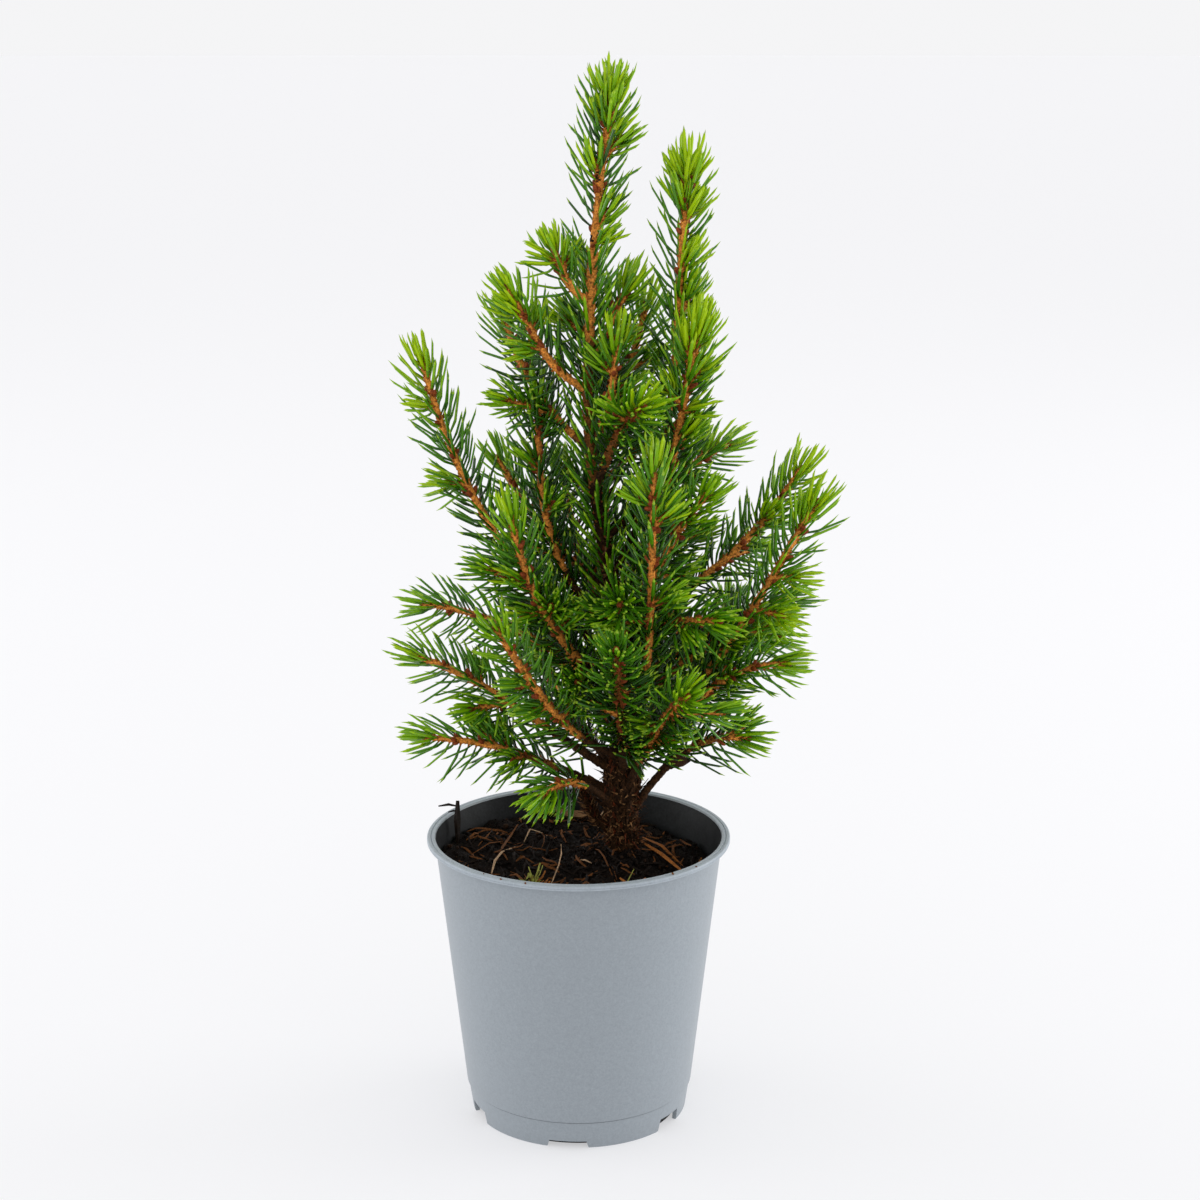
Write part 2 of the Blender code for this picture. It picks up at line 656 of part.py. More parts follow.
def grow(stems):
    """Each stem's side twigs and needles, without those that would touch what another part holds."""
    space = Space()
    trunk_top = TRUNK_LINE[-1][0]
    for height in np.arange(TRUNK_FOOT, trunk_top, SAMPLE_STEP):
        space.add([trunk_point(height)], [trunk_radius(height)], WOOD)
    for order, stem in enumerate(stems):
        if stem.split:
            space.add(*samples(stem.wood_at, stem.wood_radius, stem.whole * stem.split), WOOD)
        space.add(*samples(stem.at, stem.radius, stem.length), order)
    twigs, wanted, kept = [], [], [[] for stem in stems]
    for order, stem in enumerate(stems):
        twigs.append([])
        for twig in side_twigs(stem):
            points, radii = samples(twig.at, twig.radius, twig.length, TWIG_BURIED, TWIG_CLEARANCE)
            if space.is_free(points, radii, order):
                space.add(points, radii, order)
                twigs[order].append(twig)
        wanted.append(needles_on(stem, CROWN_NEEDLES + round(stem.length / NEEDLE_SPACING), stem.random))
        for twig in twigs[order]:
            wanted[order] += needles_on(twig, TWIG_NEEDLES, stem.random, TWIG_BARE)
    for turn in range(max(len(needles) for needles in wanted)):
        for order, needles in enumerate(wanted):
            if turn < len(needles):
                needle = needles[turn]
                points, radii = samples(needle.at, needle.radius, needle.length, NEEDLE_BURIED)
                if space.is_free(points, radii, order):
                    space.add(points, radii, order)
                    kept[order].append(needle)
    return list(zip(stems, twigs, kept))


def lay_along(bm, line):
    """Turns a shape built along Z about the origin to lie on a line."""
    turn = line.tangent(0).to_track_quat("Z", "Y").to_matrix()
    bmesh.ops.rotate(bm, matrix=turn, verts=bm.verts)
    bmesh.ops.translate(bm, vec=line.at(0.5), verts=bm.verts)


def needle_piece(needle, pieces):
    """A needle as a slim three-sided spindle."""
    bm = bmesh.new()
    bmesh.ops.create_uvsphere(bm, u_segments=3, v_segments=2, radius=1.0)
    bmesh.ops.scale(bm, vec=(NEEDLE_WIDTH / 2, NEEDLE_WIDTH / 2, needle.length / 2), verts=bm.verts)
    lay_along(bm, needle)
    return mesh_object("needle", bm, pieces)


def twig_piece(twig, pieces):
    """A side twig as a three-sided taper."""
    bm = bmesh.new()
    tip_radius = TWIG_RADIUS * TWIG_TAPER
    bmesh.ops.create_cone(
        bm, cap_ends=True, segments=3, radius1=TWIG_RADIUS, radius2=tip_radius, depth=twig.length
    )
    lay_along(bm, twig)
    return mesh_object("twig", bm, pieces)


def make_bough(stem, parts):
    name = stem.shoot.name
    length = stem.whole * stem.split
    bough = tube(stem.wood_at, stem.wood_radius, length, BOUGH_STEP, "bough_" + name, parts, 1)
    finish(bough, material("Bark of " + name, COLOURS["bough"], 0.85), 60)


def make_foliage(stem, twigs, needles, parts, pieces):
    name = stem.shoot.name
    mass = tube(stem.at, stem.radius, stem.length, STEM_STEP, "foliage_" + name, parts)
    for twig in twigs:
        twig_piece(twig, pieces)
    for needle in needles:
        needle_piece(needle, pieces)
    fuse(mass, pieces)
    share = (stem.shoot.top - POT_HEIGHT) / (TRUNK_LINE[-1][0] - POT_HEIGHT)
    tone = [channel * (LOW_TONE + (HIGH_TONE - LOW_TONE) * share) for channel in COLOURS["foliage"]]
    finish(mass, material("Needles of " + name, tone, 0.5))


def main():
    remove_everything()
    parts = new_collection(OBJECT_NAME)
    cutters = new_collection(OBJECT_NAME + "_cutters")
    pieces = new_collection(OBJECT_NAME + "_pieces")
    make_pot(parts, cutters)
    make_soil(parts, cutters)
    make_trunk(parts, pieces)
    stems = [Stem(shoot, order) for order, shoot in enumerate(SHOOTS)]
    for stem in stems + [Stem(OLD_STUB, len(SHOOTS))]:
        if stem.split:
            make_bough(stem, parts)
    for stem, twigs, needles in grow(stems):
        make_foliage(stem, twigs, needles, parts, pieces)
    bpy.data.collections.remove(pieces)


if __name__ == "__main__":
    main()
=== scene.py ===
"""Dresses a potted dwarf conifer: bark, needled shoots, buds, soil with litter, a moulded pot and a stage.

Sizes are metres, +Z is up and the pot stands on the floor at the origin. Each foliage solid is replaced by
needles that grow from the same shoots, by the same rule carried to finer twigs.
"""

import math
import random
from collections import namedtuple

import bmesh
import bpy
import numpy as np
from bpy.props import FloatProperty, FloatVectorProperty, IntProperty, PointerProperty
from mathutils import Matrix, Quaternion, Vector, noise


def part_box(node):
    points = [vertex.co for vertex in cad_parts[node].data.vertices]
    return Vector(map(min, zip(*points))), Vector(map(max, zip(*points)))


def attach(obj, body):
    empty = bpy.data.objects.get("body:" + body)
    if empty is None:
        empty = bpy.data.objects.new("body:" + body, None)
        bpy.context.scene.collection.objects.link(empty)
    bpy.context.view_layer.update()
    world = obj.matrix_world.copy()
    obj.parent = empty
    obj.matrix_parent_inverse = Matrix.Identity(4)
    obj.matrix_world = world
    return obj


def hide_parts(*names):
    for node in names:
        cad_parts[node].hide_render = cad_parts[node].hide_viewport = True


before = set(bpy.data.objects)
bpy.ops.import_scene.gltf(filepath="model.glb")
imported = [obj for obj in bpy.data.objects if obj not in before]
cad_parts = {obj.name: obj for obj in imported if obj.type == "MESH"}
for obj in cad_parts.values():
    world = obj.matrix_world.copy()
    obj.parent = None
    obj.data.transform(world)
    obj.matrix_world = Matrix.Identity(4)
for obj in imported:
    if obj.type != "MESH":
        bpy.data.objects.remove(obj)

bl_info = {
    "name": "Potted Conifer",
    "version": (1, 0, 0),
    "blender": (4, 5, 0),
    "location": "View3D > Sidebar > Conifer",
    "description": "Dresses a young dwarf conifer in a small plastic pot",
    "category": "Add Mesh",
}

# How near points are welded, a full turn in radians, and the seeds of the random draws
TUBE_WELD = 0.000002
SPUN_WELD = 0.000005
FULL_TURN = 6.28
FLAKE_SEED = 5
NEEDLE_SEED = 77
BUD_SEED = 21
SOIL_SEED = 9

# The pot and the soil, from the frame
_, POT_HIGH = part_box("pot")
SOIL_LOW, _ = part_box("soil")
POT_HEIGHT = POT_HIGH[2]
POT_RIM_RADIUS = POT_HIGH[0]

# The pot's other sizes
POT_TOP_RADIUS = 0.0426
POT_STEP_RADIUS = 0.0340
POT_FOOT_RADIUS = 0.0323
POT_WALL = 0.0010
POT_STEPS = 160
STEP_HEIGHT = 0.0086
STEP_DEPTH = 0.0004
STEP_ROUNDING = 0.0004
FLOOR_UNDERSIDE = 0.0042
FLOOR_THICKNESS = 0.0012
FLOOR_TOP = FLOOR_UNDERSIDE + FLOOR_THICKNESS
CENTRE_PAD_RADIUS = 0.007
CENTRE_PAD_SLOPE = 0.0008
WALL_RINGS = (0.060, 0.030, STEP_HEIGHT + STEP_ROUNDING)

# The pot's lip: its height, its flare inside, its rounded edges and its two fine grooves
LIP_HEIGHT = 0.0014
LIP_FLARE = 0.0007
LIP_INNER_EDGE = 0.0005
LIP_OUTER_EDGE = 0.00045
LIP_LOWER_EDGE = 0.0002
LIP_FILLET = 0.0003
TOP_GROOVE_RADIUS = 0.0438
TOP_GROOVE = ((-0.0002, 0.0), (0.0, -0.00025), (0.0002, 0.0))
SIDE_GROOVE_DROP = 0.00085
SIDE_GROOVE = ((0.0, 0.00012), (-0.00012, 0.0), (0.0, -0.00012))

# Corners of the pot's section, as steps outwards and upwards from where two faces would meet
FLOOR_CORNER = ((-0.0010, 0.0), (-0.0002, 0.0010))
FLARE_CORNER = ((-0.0003, -0.0032), (LIP_FLARE, -0.0006))
STEP_CORNER = ((-0.0001, 0.0001), (-0.0007, 0.0), (-STEP_DEPTH, -0.0002))
FOOT_OUTER_CORNER = ((0.0001, 0.0004), (-0.0002, 0.0))
FOOT_INNER_CORNER = ((-0.0003, 0.0), (0.0002, FLOOR_UNDERSIDE))

# The foot's openings, as widths and heights, the rib behind them and the floor's drain holes
FOOT_TURN = -96.0
SHALLOW_OPENING = (0.0134, 0.0022)
DEEP_OPENING = (0.0110, 0.0040)
DEEP_OPENING_SPREAD = 61.0
OPENING_REACH = (0.0300, 0.0345)
OPENING_TOP_SHARE = 0.82
UNDER_RIB = (0.0289, 0.0297)
UNDER_RIB_FOOT = 0.0003
DRAIN_HOLES = 6
DRAIN_HOLE_SIDES = 24
DRAIN_HOLE_RADIUS = 0.003
DRAIN_CUTTER_HEIGHT = 0.006
DRAIN_CIRCLE_RADIUS = 0.019
DRAIN_HOLE_TURN = 15

# Which faces of the pot are its outside, dark inside, underside in painted shade and lip in painted
# highlight
OUTSIDE, INSIDE, LIP = 0, 1, 2
INSIDE_DEPTH = 0.3
FACE_MARGIN = 0.0001
LIP_MARGIN = 0.0002

# The soil's surface: level and slopes, the seat and the mound round the trunk, and the plug's lower edge
SOIL_LEVEL = 0.0777
SOIL_SLOPE = 0.055
SOIL_SLOPE_BACK = 0.03
SOIL_STEPS = 144
SOIL_RINGS = 46
SOIL_EDGE = 0.99
SOIL_TOP_BAND = 0.001
SEAT_DEPTH = 0.0006
SEAT_RADIUS = 0.0085
SEAT_FADE = 0.012
MOUND_HEIGHT = 0.0030
MOUND_RADIUS = 0.0105
PLUG_INSET = 0.0013
PLUG_CORNER = ((0.0008, 0.0010), (0.0, 0.0))

# The soil's low lumps, as waves across it, and its relief of cells and grain
SOIL_LUMP = 0.0011
LUMP_WAVES = (310, 270, 520)
LUMP_SHIFTS = (1.3, 0.4)
FINE_LUMP = 0.6
LUMP_MIDDLE = 0.9
SOIL_CELL = 0.0028
SOIL_CELL_HEIGHT = 0.0011
SOIL_CELL_STEEPNESS = 1.5
SOIL_GRAIN = 0.0016
SOIL_GRAIN_HEIGHT = 0.0009

# Crumbs: their sizes beside the largest, those that lie round the trunk, and the share of dark ones
CRUMB_SIZES = (0.25, 0.75)
CRUMB_RARITY = 2.2
CRUMB_CORNERS = (0.75, 1.2)
CRUMB_SQUASH = ((0.6, 1.0), (0.45, 0.85))
CRUMB_SINK = 0.1
TRUNK_CRUMBS = 5
TRUNK_CRUMB_RING = (0.005, 0.014)
DARK_CRUMBS = 0.87

# Fibres: their lengths, bow, half widths, how high they lie, and how far they stay from the wall
FIBRE_LENGTHS = (0.002, 0.009)
FIBRE_BOW = 0.15
FIBRE_RADII = (0.00015, 0.00048)
FIBRE_LIFT = 0.0009
FIBRE_POINTS = 4
FIBRE_INSET = 0.004
FIBRE_WALL_GAP = 0.0015
FIBRE_SLOTS = (0, 0, 0, 0, 1, 1)

# The tuft of moss: its place, blades, spread, lean, lengths, half widths, flatness, colours and curl
MOSS_SPOT = (-0.0128, -0.0205)
MOSS_BLADES = 34
MOSS_SPREAD = 0.0038
MOSS_LEAN = (0.1, 1.6)
MOSS_LENGTHS = (0.0020, 0.0048)
MOSS_RADII = (0.00026, 0.00060)
MOSS_FLATNESS = 0.4
MOSS_GREENS = 0.8
MOSS_CURL = 0.25

# Litter: how it lies on the soil's relief, and how it is flattened
RELIEF_LIFT = 0.0006
LITTER_SINK = 0.0004
LITTER_FLATNESS = 0.7
LITTER_INSET = 0.002
STICK_END = 0.5
UPRIGHT = 0.05

# The trunk: its line as heights with sideways and depth places, and its thickness
TRUNK_FOOT = 0.078
TRUNK_LINE = (
    (0.0780, 0.0130, 0.0050),
    (0.1000, 0.0128, 0.0032),
    (0.1220, 0.0152, 0.0010),
    (0.1450, 0.0128, 0.0000),
    (0.1840, 0.0058, 0.0000),
    (0.2130, 0.0029, 0.0000),
    (0.2380, 0.0035, 0.0000),
    (0.2580, 0.0044, 0.0000),
)
TRUNK_FOOT_RADIUS = 0.0056
TRUNK_TIP_RADIUS = 0.0015
TRUNK_TAPER = 2.8
FLARE_RADIUS = 0.0020
FLARE_HEIGHT = 0.0060
FLARE_FADE = 1.3
TRUNK_SIDES = 26
TRUNK_STEPS = 300
TRUNK_TOP_LIFT = 0.0004
TRUNK_FOOT_DEPTH = 0.0015

# The trunk's slim foot, its swollen whorl and its root ridges, under the bark's relief
FOOT_SLIMNESS = 0.0012
SLIM_HEIGHT = 0.014
WHORL_SWELL = 0.0012
WHORL_HEIGHT = 0.101
WHORL_SPAN = 0.011
ROOT_RIDGES = 5
RIDGE_SWELL = 0.0006
RIDGE_HEIGHT = 0.0075
RIDGE_TURN = 0.5
RIDGE_TWIST = 40

# Bark relief: the shares of its scales and its grain and how far both are sunk, and the scales' form
TRUNK_BARK = (0.9, 0.4, 0.5)
TRUNK_SCALE_WIDTHS = (0.0023, 0.0011)
TRUNK_SCALE_STRETCH = 1.9
TRUNK_SCALE_STEEPNESS = 1.5
TRUNK_GRAIN = 0.0008
TRUNK_RELIEF_SHARES = (0.32, 0.68, 0.9)
BOUGH_BARK = (0.75, 0.35, 0.35)
BOUGH_SCALE_STEEPNESS = 1.6
BOUGH_GRAIN_SHARE = 0.45
BOUGH_RELIEF = 0.00055
BOUGH_SCALE = (0.0013, 1.6)
STEM_PEG = (0.00085, 1.5)

# Boughs, stems and side twigs: thickness, how they are rooted, and the rule for twigs that aren't listed
GAP = 0.0003
WOOD_RADIUS = 0.0010
WOOD_THICKENING = 0.010
HANDLE_SHARE = 0.38
STEM_RADIUS = 0.00118
STEM_TIP_RADIUS = 0.00090
STEM_ROOT_SWELL = 1.1
TWIG_RADIUS = 0.00088
TWIG_TAPER = 0.00022
BOUGH_SLIMNESS = 0.92
BOUGH_ROOT_SWELL = 1.15
ROOT_DEPTH = 0.0016
BOUGH_JOINT_DEPTH = 0.0004
BOUGH_POINT_STEP = 0.0007
STEM_POINT_STEP = 0.0006
BOUGH_SIDES = 12
STEM_SIDES = 10
LINE_STEPS = 40
TANGENT_STEP = 0.01
BOUGH_START = 0.03
STEM_START = 0.02
STEM_END = 0.97
TWIG_SPREAD = 50.0
TWIG_SPREAD_SCATTER = 8
TWIG_ROLL = 35.0
TWIG_MIN_STEM = 0.024
TWIG_STEP = 0.026
TWIG_MAX_LENGTH = 0.018
TWIG_LENGTH_SHARES = (0.42, 0.56)
TWIG_FIRST = 0.12
TWIG_LAST = 0.68
STEEP = 0.35
FIRST_SEED = 1000

# Where bark turns from old to young: up the trunk, away from the trunk, and less so in the higher crown.
# The darker bark near the trunk is partly its age and partly painted shade.
TRUNK_AGES = (0.190, 0.232)
AGE_WANDER = 0.012
AGE_PATCH = 0.006
OLD_AND_SHADED_BOUGH_REACH = (0.019,)
OLD_AND_SHADED_STEM_REACH = (0.010, 0.015)
REACH_WANDER = 0.004
REACH_PATCH = 0.003
OLD_AND_SHADED_WOOD_TOP = 0.225
OLD_AND_SHADED_WOOD_FADE = 0.075
LOW_WOOD_TOP = 0.119
LOW_WOOD_FRONT = -0.009
LOW_WOOD_SHARE = 1.9

# The burl where the lowest right bough leaves, and the fuller dead stub
BURL_SHOOT = "lowest_right"
BURL_DROP = 0.0006
BURL_WIDTH = 0.0042
BURL_HEIGHT = 0.0026
STUB_FULLNESS = 1.3

# Loose bark: how far pieces of each kind stand out and up, their lengths and their half widths
Flake = namedtuple("Flake", "out up lengths breadths")
BARK_PEG = Flake((0.7, 1.6), (0.5, 1.0), (0.0022, 0.0050), (0.00018, 0.00034))
BARK_SCALE = Flake((0.15, 0.55), None, (0.0012, 0.0034), (0.00025, 0.00075))
BARK_SHRED = Flake((0.3, 0.9), (0.1, 1.0), (0.0009, 0.0024), (0.00018, 0.00036))
STUB_SHRED = Flake((0.3, 1.2), (0.2, 1.0), (0.0012, 0.0042), (0.0002, 0.0005))
FLAKE_THICKNESS = 0.16
FLAKE_MAX_THICKNESS = 0.0004
FLAKES = 2900
FLAKES_BELOW = 0.001
FLAKES_SPAN = 0.100
FLAKES_CROWDING = 1.9
FLAKE_ROOTING = 0.94
FLAKE_SKEW = 0.45
SHRED_SKEW = 3
LOW_FLAKES_TOP = 0.118
PEGS_LOW, PEGS_HIGH = 0.22, 0.08
HIGH_SCALE_SIZE = 0.6
DARK_FLAKES_TOP = 0.081
FLAKE_SLOTS = (0, 0, 0, 1, 1, 2)
SHRED_SLOT = 1
STUB_FLAKES = 260
STUB_FLAKE_ROOTING = 0.9
STUB_FLAKE_SLOTS = (0, 0, 1, 2)
STUB_UNDERSIDE = -0.35

# Each shoot: where its foot stands up the trunk, its heading, how far out and how high its tip is, the slope
# at which it leaves and ends, and the share of its length that is a bare bough.
Shoot = namedtuple("Shoot", "name foot heading reach top leave finish bough")
SHOOTS = (
    Shoot("leader", 0.258, 0, 0.005, 0.302, 84, 83, 0),
    Shoot("top_left", 0.245, -170, 0.011, 0.260, 36, 68, 0),
    Shoot("top_right", 0.231, 28, 0.013, 0.248, 52, 58, 0),
    Shoot("high_left", 0.220, -165, 0.023, 0.248, 30, 56, 0),
    Shoot("high_left_back", 0.203, 150, 0.029, 0.239, 36, 72, 0),
    Shoot("high_right", 0.206, -40, 0.010, 0.234, 62, 86, 0),
    Shoot("high_right_back", 0.204, 47, 0.024, 0.241, 50, 72, 0),
    Shoot("high_front", 0.193, -64, 0.031, 0.218, 52, 18, 0),
    Shoot("tall_right", 0.168, 11, 0.023, 0.280, 62, 84, 0.40),
    Shoot("inner_right", 0.161, -22, 0.026, 0.237, 60, 76, 0.36),
    Shoot("dome_right", 0.177, 27, 0.042, 0.200, 36, 22, 0.30),
    Shoot("mid_right_front", 0.153, -41, 0.033, 0.193, 50, 44, 0),
    Shoot("front_centre", 0.118, -79, 0.030, 0.203, 40, 88, 0.28),
    Shoot("front_right", 0.147, -51, 0.042, 0.159, 24, 6, 0),
    Shoot("front_left", 0.133, -95, 0.034, 0.164, 58, 8, 0),
    Shoot("front_low", 0.107, -94, 0.046, 0.154, 40, 38, 0),
    Shoot("mid_left", 0.150, 170, 0.024, 0.217, 40, 89, 0.28),
    Shoot("mid_left_back", 0.160, 147, 0.040, 0.195, 32, 56, 0),
    Shoot("tall_left", 0.141, 174, 0.058, 0.226, 38, 76, 0.38),
    Shoot("tall_front_left", 0.131, -141, 0.043, 0.188, 34, 76, 0.25),
    Shoot("front_left_side", 0.119, -149, 0.048, 0.172, 46, 14, 0),
    Shoot("left_back_arm", 0.130, 168, 0.062, 0.153, 30, 4, 0),
    Shoot("front_left_arm", 0.111, -134, 0.053, 0.158, 24, 52, 0.26),
    Shoot("left_arm", 0.106, 180, 0.061, 0.140, 32, 20, 0.32),
    Shoot("low_left_arm", 0.099, -176, 0.058, 0.116, 28, 4, 0.26),
    Shoot("rim_left", 0.096, -132, 0.035, 0.105, 40, -26, 0),
    Shoot("right_arm_back", 0.151, 10, 0.054, 0.194, 24, 56, 0.30),
    Shoot("right_arm", 0.117, -12, 0.054, 0.188, 42, 60, 0.30),
    Shoot("droop_right", 0.127, 7, 0.045, 0.145, 46, -10, 0),
    Shoot("far_right_back", 0.133, 26, 0.056, 0.152, 28, 6, 0),
    Shoot("low_right_arm", 0.110, -17, 0.048, 0.141, 46, 2, 0.26),
    Shoot("low_right_back", 0.112, 31, 0.042, 0.141, 28, 48, 0),
    Shoot("low_front_right", 0.103, -67, 0.044, 0.139, 46, 28, 0),
    Shoot("lowest_right", 0.096, -15, 0.038, 0.117, 58, -6, 0.45),
    Shoot("back_low_left", 0.104, 128, 0.048, 0.132, 30, 16, 0),
    Shoot("back_low_right", 0.102, 66, 0.046, 0.130, 30, 14, 0),
    Shoot("back_mid", 0.122, 96, 0.045, 0.160, 38, 50, 0),
    Shoot("back_mid_left", 0.142, 122, 0.034, 0.190, 44, 72, 0),
    Shoot("back_mid_right", 0.146, 60, 0.034, 0.197, 44, 70, 0),
    Shoot("back_high", 0.172, 88, 0.022, 0.222, 50, 80, 0),
    Shoot("back_top", 0.213, 92, 0.013, 0.252, 58, 80, 0),
)
OLD_STUB = Shoot("old_stub", 0.087, 172, 0.013, 0.0985, 20, 40, 1)

# Bare dead twigs low on the trunk: height of the foot in metres, heading and slope in degrees, length and
# thickness in millimetres
DEAD_TWIGS = (
    (0.0960, -20, 52, 9.0, 0.9),
    (0.0930, -35, 40, 8.0, 0.7),
    (0.1000, 8, 48, 11.0, 0.8),
    (0.0890, 185, 35, 8.5, 1.3),
    (0.0980, 205, 20, 7.0, 0.8),
    (0.0900, -75, 30, 6.0, 0.8),
    (0.0940, 95, 40, 8.0, 0.8),
    (0.0880, 40, 25, 6.5, 1.0),
    (0.1060, -100, 35, 7.0, 0.7),
    (0.1030, 150, 35, 9.0, 0.8),
)
DEAD_TWIG_STEPS = 8
DEAD_TWIG_BOW = 0.0022
DEAD_TWIG_TAPER = 0.45

# Side shoots that show: where on the shoot each leaves, its heading, slope and length in millimetres.
# A shoot that is not named here grows its side twigs by the rule.
SIDE_SHOOTS = {
    "leader": (
        (0.60, -35, 76, 14.5), (0.58, -10, 46, 7.5), (0.36, 200, 80, 8.5), (0.78, 190, 70, 3.5),
        (0.10, -20, 58, 6.8), (0.02, -30, 35, 4.0), (0.94, 185, 68, 3.0), (0.94, -5, 68, 3.0),
    ),
    "top_left": ((0.55, 40, 60, 3.5), (0.70, 190, 15, 3.0)),
    "top_right": ((0.70, 0, 50, 3.5),),
    "high_left": ((0.74, 195, 40, 5.0), (0.45, 190, 0, 4.0), (0.60, 60, 60, 4.0)),
    "high_right": ((0.35, 20, 45, 7.0), (0.65, 160, 45, 5.0)),
    "high_front": ((0.45, 60, 50, 7.0), (0.70, -150, 30, 4.0)),
    "tall_right": (
        (0.36, -20, 72, 12.5), (0.60, -30, 60, 6.0), (0.80, -20, 60, 5.5), (0.84, 190, 70, 4.5),
        (0.94, 190, 66, 4.0), (0.94, -10, 66, 4.0),
    ),
    "inner_right": (
        (0.57, 190, 55, 7.5), (0.72, -90, 84, 12.0), (0.90, 0, 80, 8.0), (0.70, 0, 58, 6.0),
        (0.33, -10, 50, 6.0), (0.55, -20, 15, 4.0),
    ),
    "dome_right": ((0.50, -60, -10, 6.0), (0.70, 60, 40, 4.0)),
    "mid_right_front": ((0.30, 0, 10, 9.0), (0.66, 150, 70, 8.0), (0.75, -60, 30, 4.0)),
    "front_centre": ((0.33, 180, 0, 9.5), (0.40, -20, 25, 6.0), (0.74, -10, 45, 6.0), (0.82, 170, 40, 4.0)),
    "front_right": ((0.45, 70, 50, 6.0), (0.60, -60, -20, 5.0)),
    "front_low": ((0.20, -60, 10, 8.0), (0.45, -170, 30, 9.0), (0.62, 10, 20, 6.0)),
    "mid_left": ((0.76, 20, 45, 4.0), (0.60, 185, 45, 5.0), (0.35, -60, 40, 6.0)),
    "tall_left": ((0.42, 182, 8, 6.0), (0.80, 185, 10, 2.5)),
    "tall_front_left": ((0.40, 190, -5, 6.0), (0.62, 185, 15, 4.0), (0.25, -20, 50, 5.0)),
    "left_back_arm": ((0.20, 190, 10, 10.0), (0.35, 120, 30, 6.0)),
    "left_arm": ((0.30, -150, 0, 13.0), (0.55, 100, 60, 4.0)),
    "low_left_arm": ((0.50, 150, 50, 7.0), (0.38, 140, 60, 4.0), (0.25, -130, 0, 6.0)),
    "front_left_arm": ((0.55, 185, -10, 4.0), (0.20, 20, 50, 5.5), (0.33, 190, -5, 5.0)),
    "right_arm": ((0.21, 20, 15, 14.0), (0.41, -50, 0, 12.0), (0.60, -10, 0, 7.0), (0.85, 30, 70, 5.0)),
    "low_right_arm": ((0.40, 40, 50, 11.0), (0.55, -80, 10, 5.0)),
    "rim_left": ((0.60, -178, -28, 9.0),),
    "lowest_right": ((0.70, 30, 20, 8.0),),
    "low_front_right": ((0.72, 5, 0, 16.5), (0.55, -150, 10, 5.0), (0.36, -25, 22, 9.0)),
}

# Needles: their rings from root to point, as shares of the length and of the width, and their tones
NEEDLE_RINGS = ((0.0, 1.0), (0.075, 0.66), (0.34, 1.0), (0.87, 0.84))
NEEDLE_CORNERS = ((1, 0), (0, 1), (-1, 0), (0, -1))
NEEDLE_FLATNESS = 0.8
NEARLY_UPRIGHT = 0.9
TONES = ("shade", "green", "bright", "fresh")

# How a line carries its needles: from which share of its length, how vigorous they are, how long and how far
# apart they are beside full ones, and how long those of its crown are
Growth = namedtuple("Growth", "first vigour reach spacing crown")
VIGOUR_FROM = 0.12
VIGOUR_RISE = 0.115
LEAST_VIGOUR = 0.36
VIGOURS = {
    # front_low's low vigour darkens its needles as painted shade
    "front_low": 0.1,
    "front_left_arm": 0.45,
    "front_left_side": 0.45,
    "left_back_arm": 0.45,
    "left_arm": 0.5,
    "low_left_arm": 0.5,
    "lowest_right": 0.55,
    "rim_left": 0.55,
    "droop_right": 0.6,
    "low_right_arm": 0.6,
    "low_front_right": 0.62,
    "tall_front_left": 0.75,
    "front_centre": 0.8,
    "right_arm_back": 0.85,
    "right_arm": 0.9,
}
BARE_FOOT = 0.10
BARE_FEET = {
    "rim_left": 0.46,
    "front_low": 0.20,
    "low_front_right": 0.18,
    "lowest_right": 0.0,
    "low_left_arm": 0.0,
}
BOUGH_NEEDLES_FROM = 0.140
HIGH_BOUGH_COVER = 0.8
LOW_BOUGH_COVER = 0.25
CLOSE_SHOOTS = ("high_front", "front_low", "low_front_right", "front_left", "inner_right")
CLOSE_SPACING = 0.7
# Stems in deep shade, which take the boughs' darker bark as painted shade
SHADED_SHOOTS = ("front_low", "high_front")
CROWN_LENGTH = 0.65
CROWN_LENGTHS = {
    "top_left": 0.42,
    "high_left": 0.50,
    "front_centre": 0.58,
    "high_left_back": 0.6,
    "leader": 0.62,
    "tall_right": 0.88,
}
TWIG_BARE_FOOT = 0.12
TWIG_VIGOUR = 0.9
TWIG_NEEDLE_REACH = 0.84
TWIG_CROWN_LENGTH = 0.66

# The needles' spiral, how they open and bend, and how their sizes vary
SPIRAL = 137.5
SPIRAL_SCATTER = 20
OPENING_SHARES = (0.66, 0.34)
OPENING_EASE = 0.6
OLD_STRETCH = 3
UNDERSIDE_DROOP = 36.0
LYING_CLOSE = 4
ANGLE_SCATTER = (-14, 15)
SCATTER_SHARES = (1.5, 0.7)
LEAST_ANGLE = 2.0
NEEDLE_LIFT = 0.10
NEEDLE_BENDS = (0.20, 0.32)
CROWN_BEND = 0.42
NEEDLE_TWIST = 0.18
CROWN_LENGTH_EASE = 0.8
VIGOUR_LENGTHS = (0.93, 0.07)
NEEDLE_LENGTHS = (0.74, 1.08)
CROWN_WIDTHS = (1.14, 0.14)
NEEDLE_WIDTHS = (0.88, 1.1)
NEEDLE_ROOT = 0.0006
NEEDLE_APART = (0.7, 1.3)

# Needles that point at the viewer from a stem that crosses the view: some are left out for bare pegs
FACING_FRONT = -0.70
CROSSING_VIEW = 0.5
BEHIND_CROWN = 0.5
FRONT_THINNING = 0.40
LEADER_THINNING = 0.72
LEADER_HEIGHT = 0.215
PEG_OUT = 0.0009
PEG_LENGTHS = (0.0010, 0.0016)
PEG_BREADTH = 0.00028

# How far needles' points stay from the trunk, the soil and the pot's lip and wall
TRUNK_CLEARANCE = 0.0004
SOIL_CLEARANCE = 0.003
LIP_CLEARANCE = 0.001
WALL_CLEARANCE = 0.003

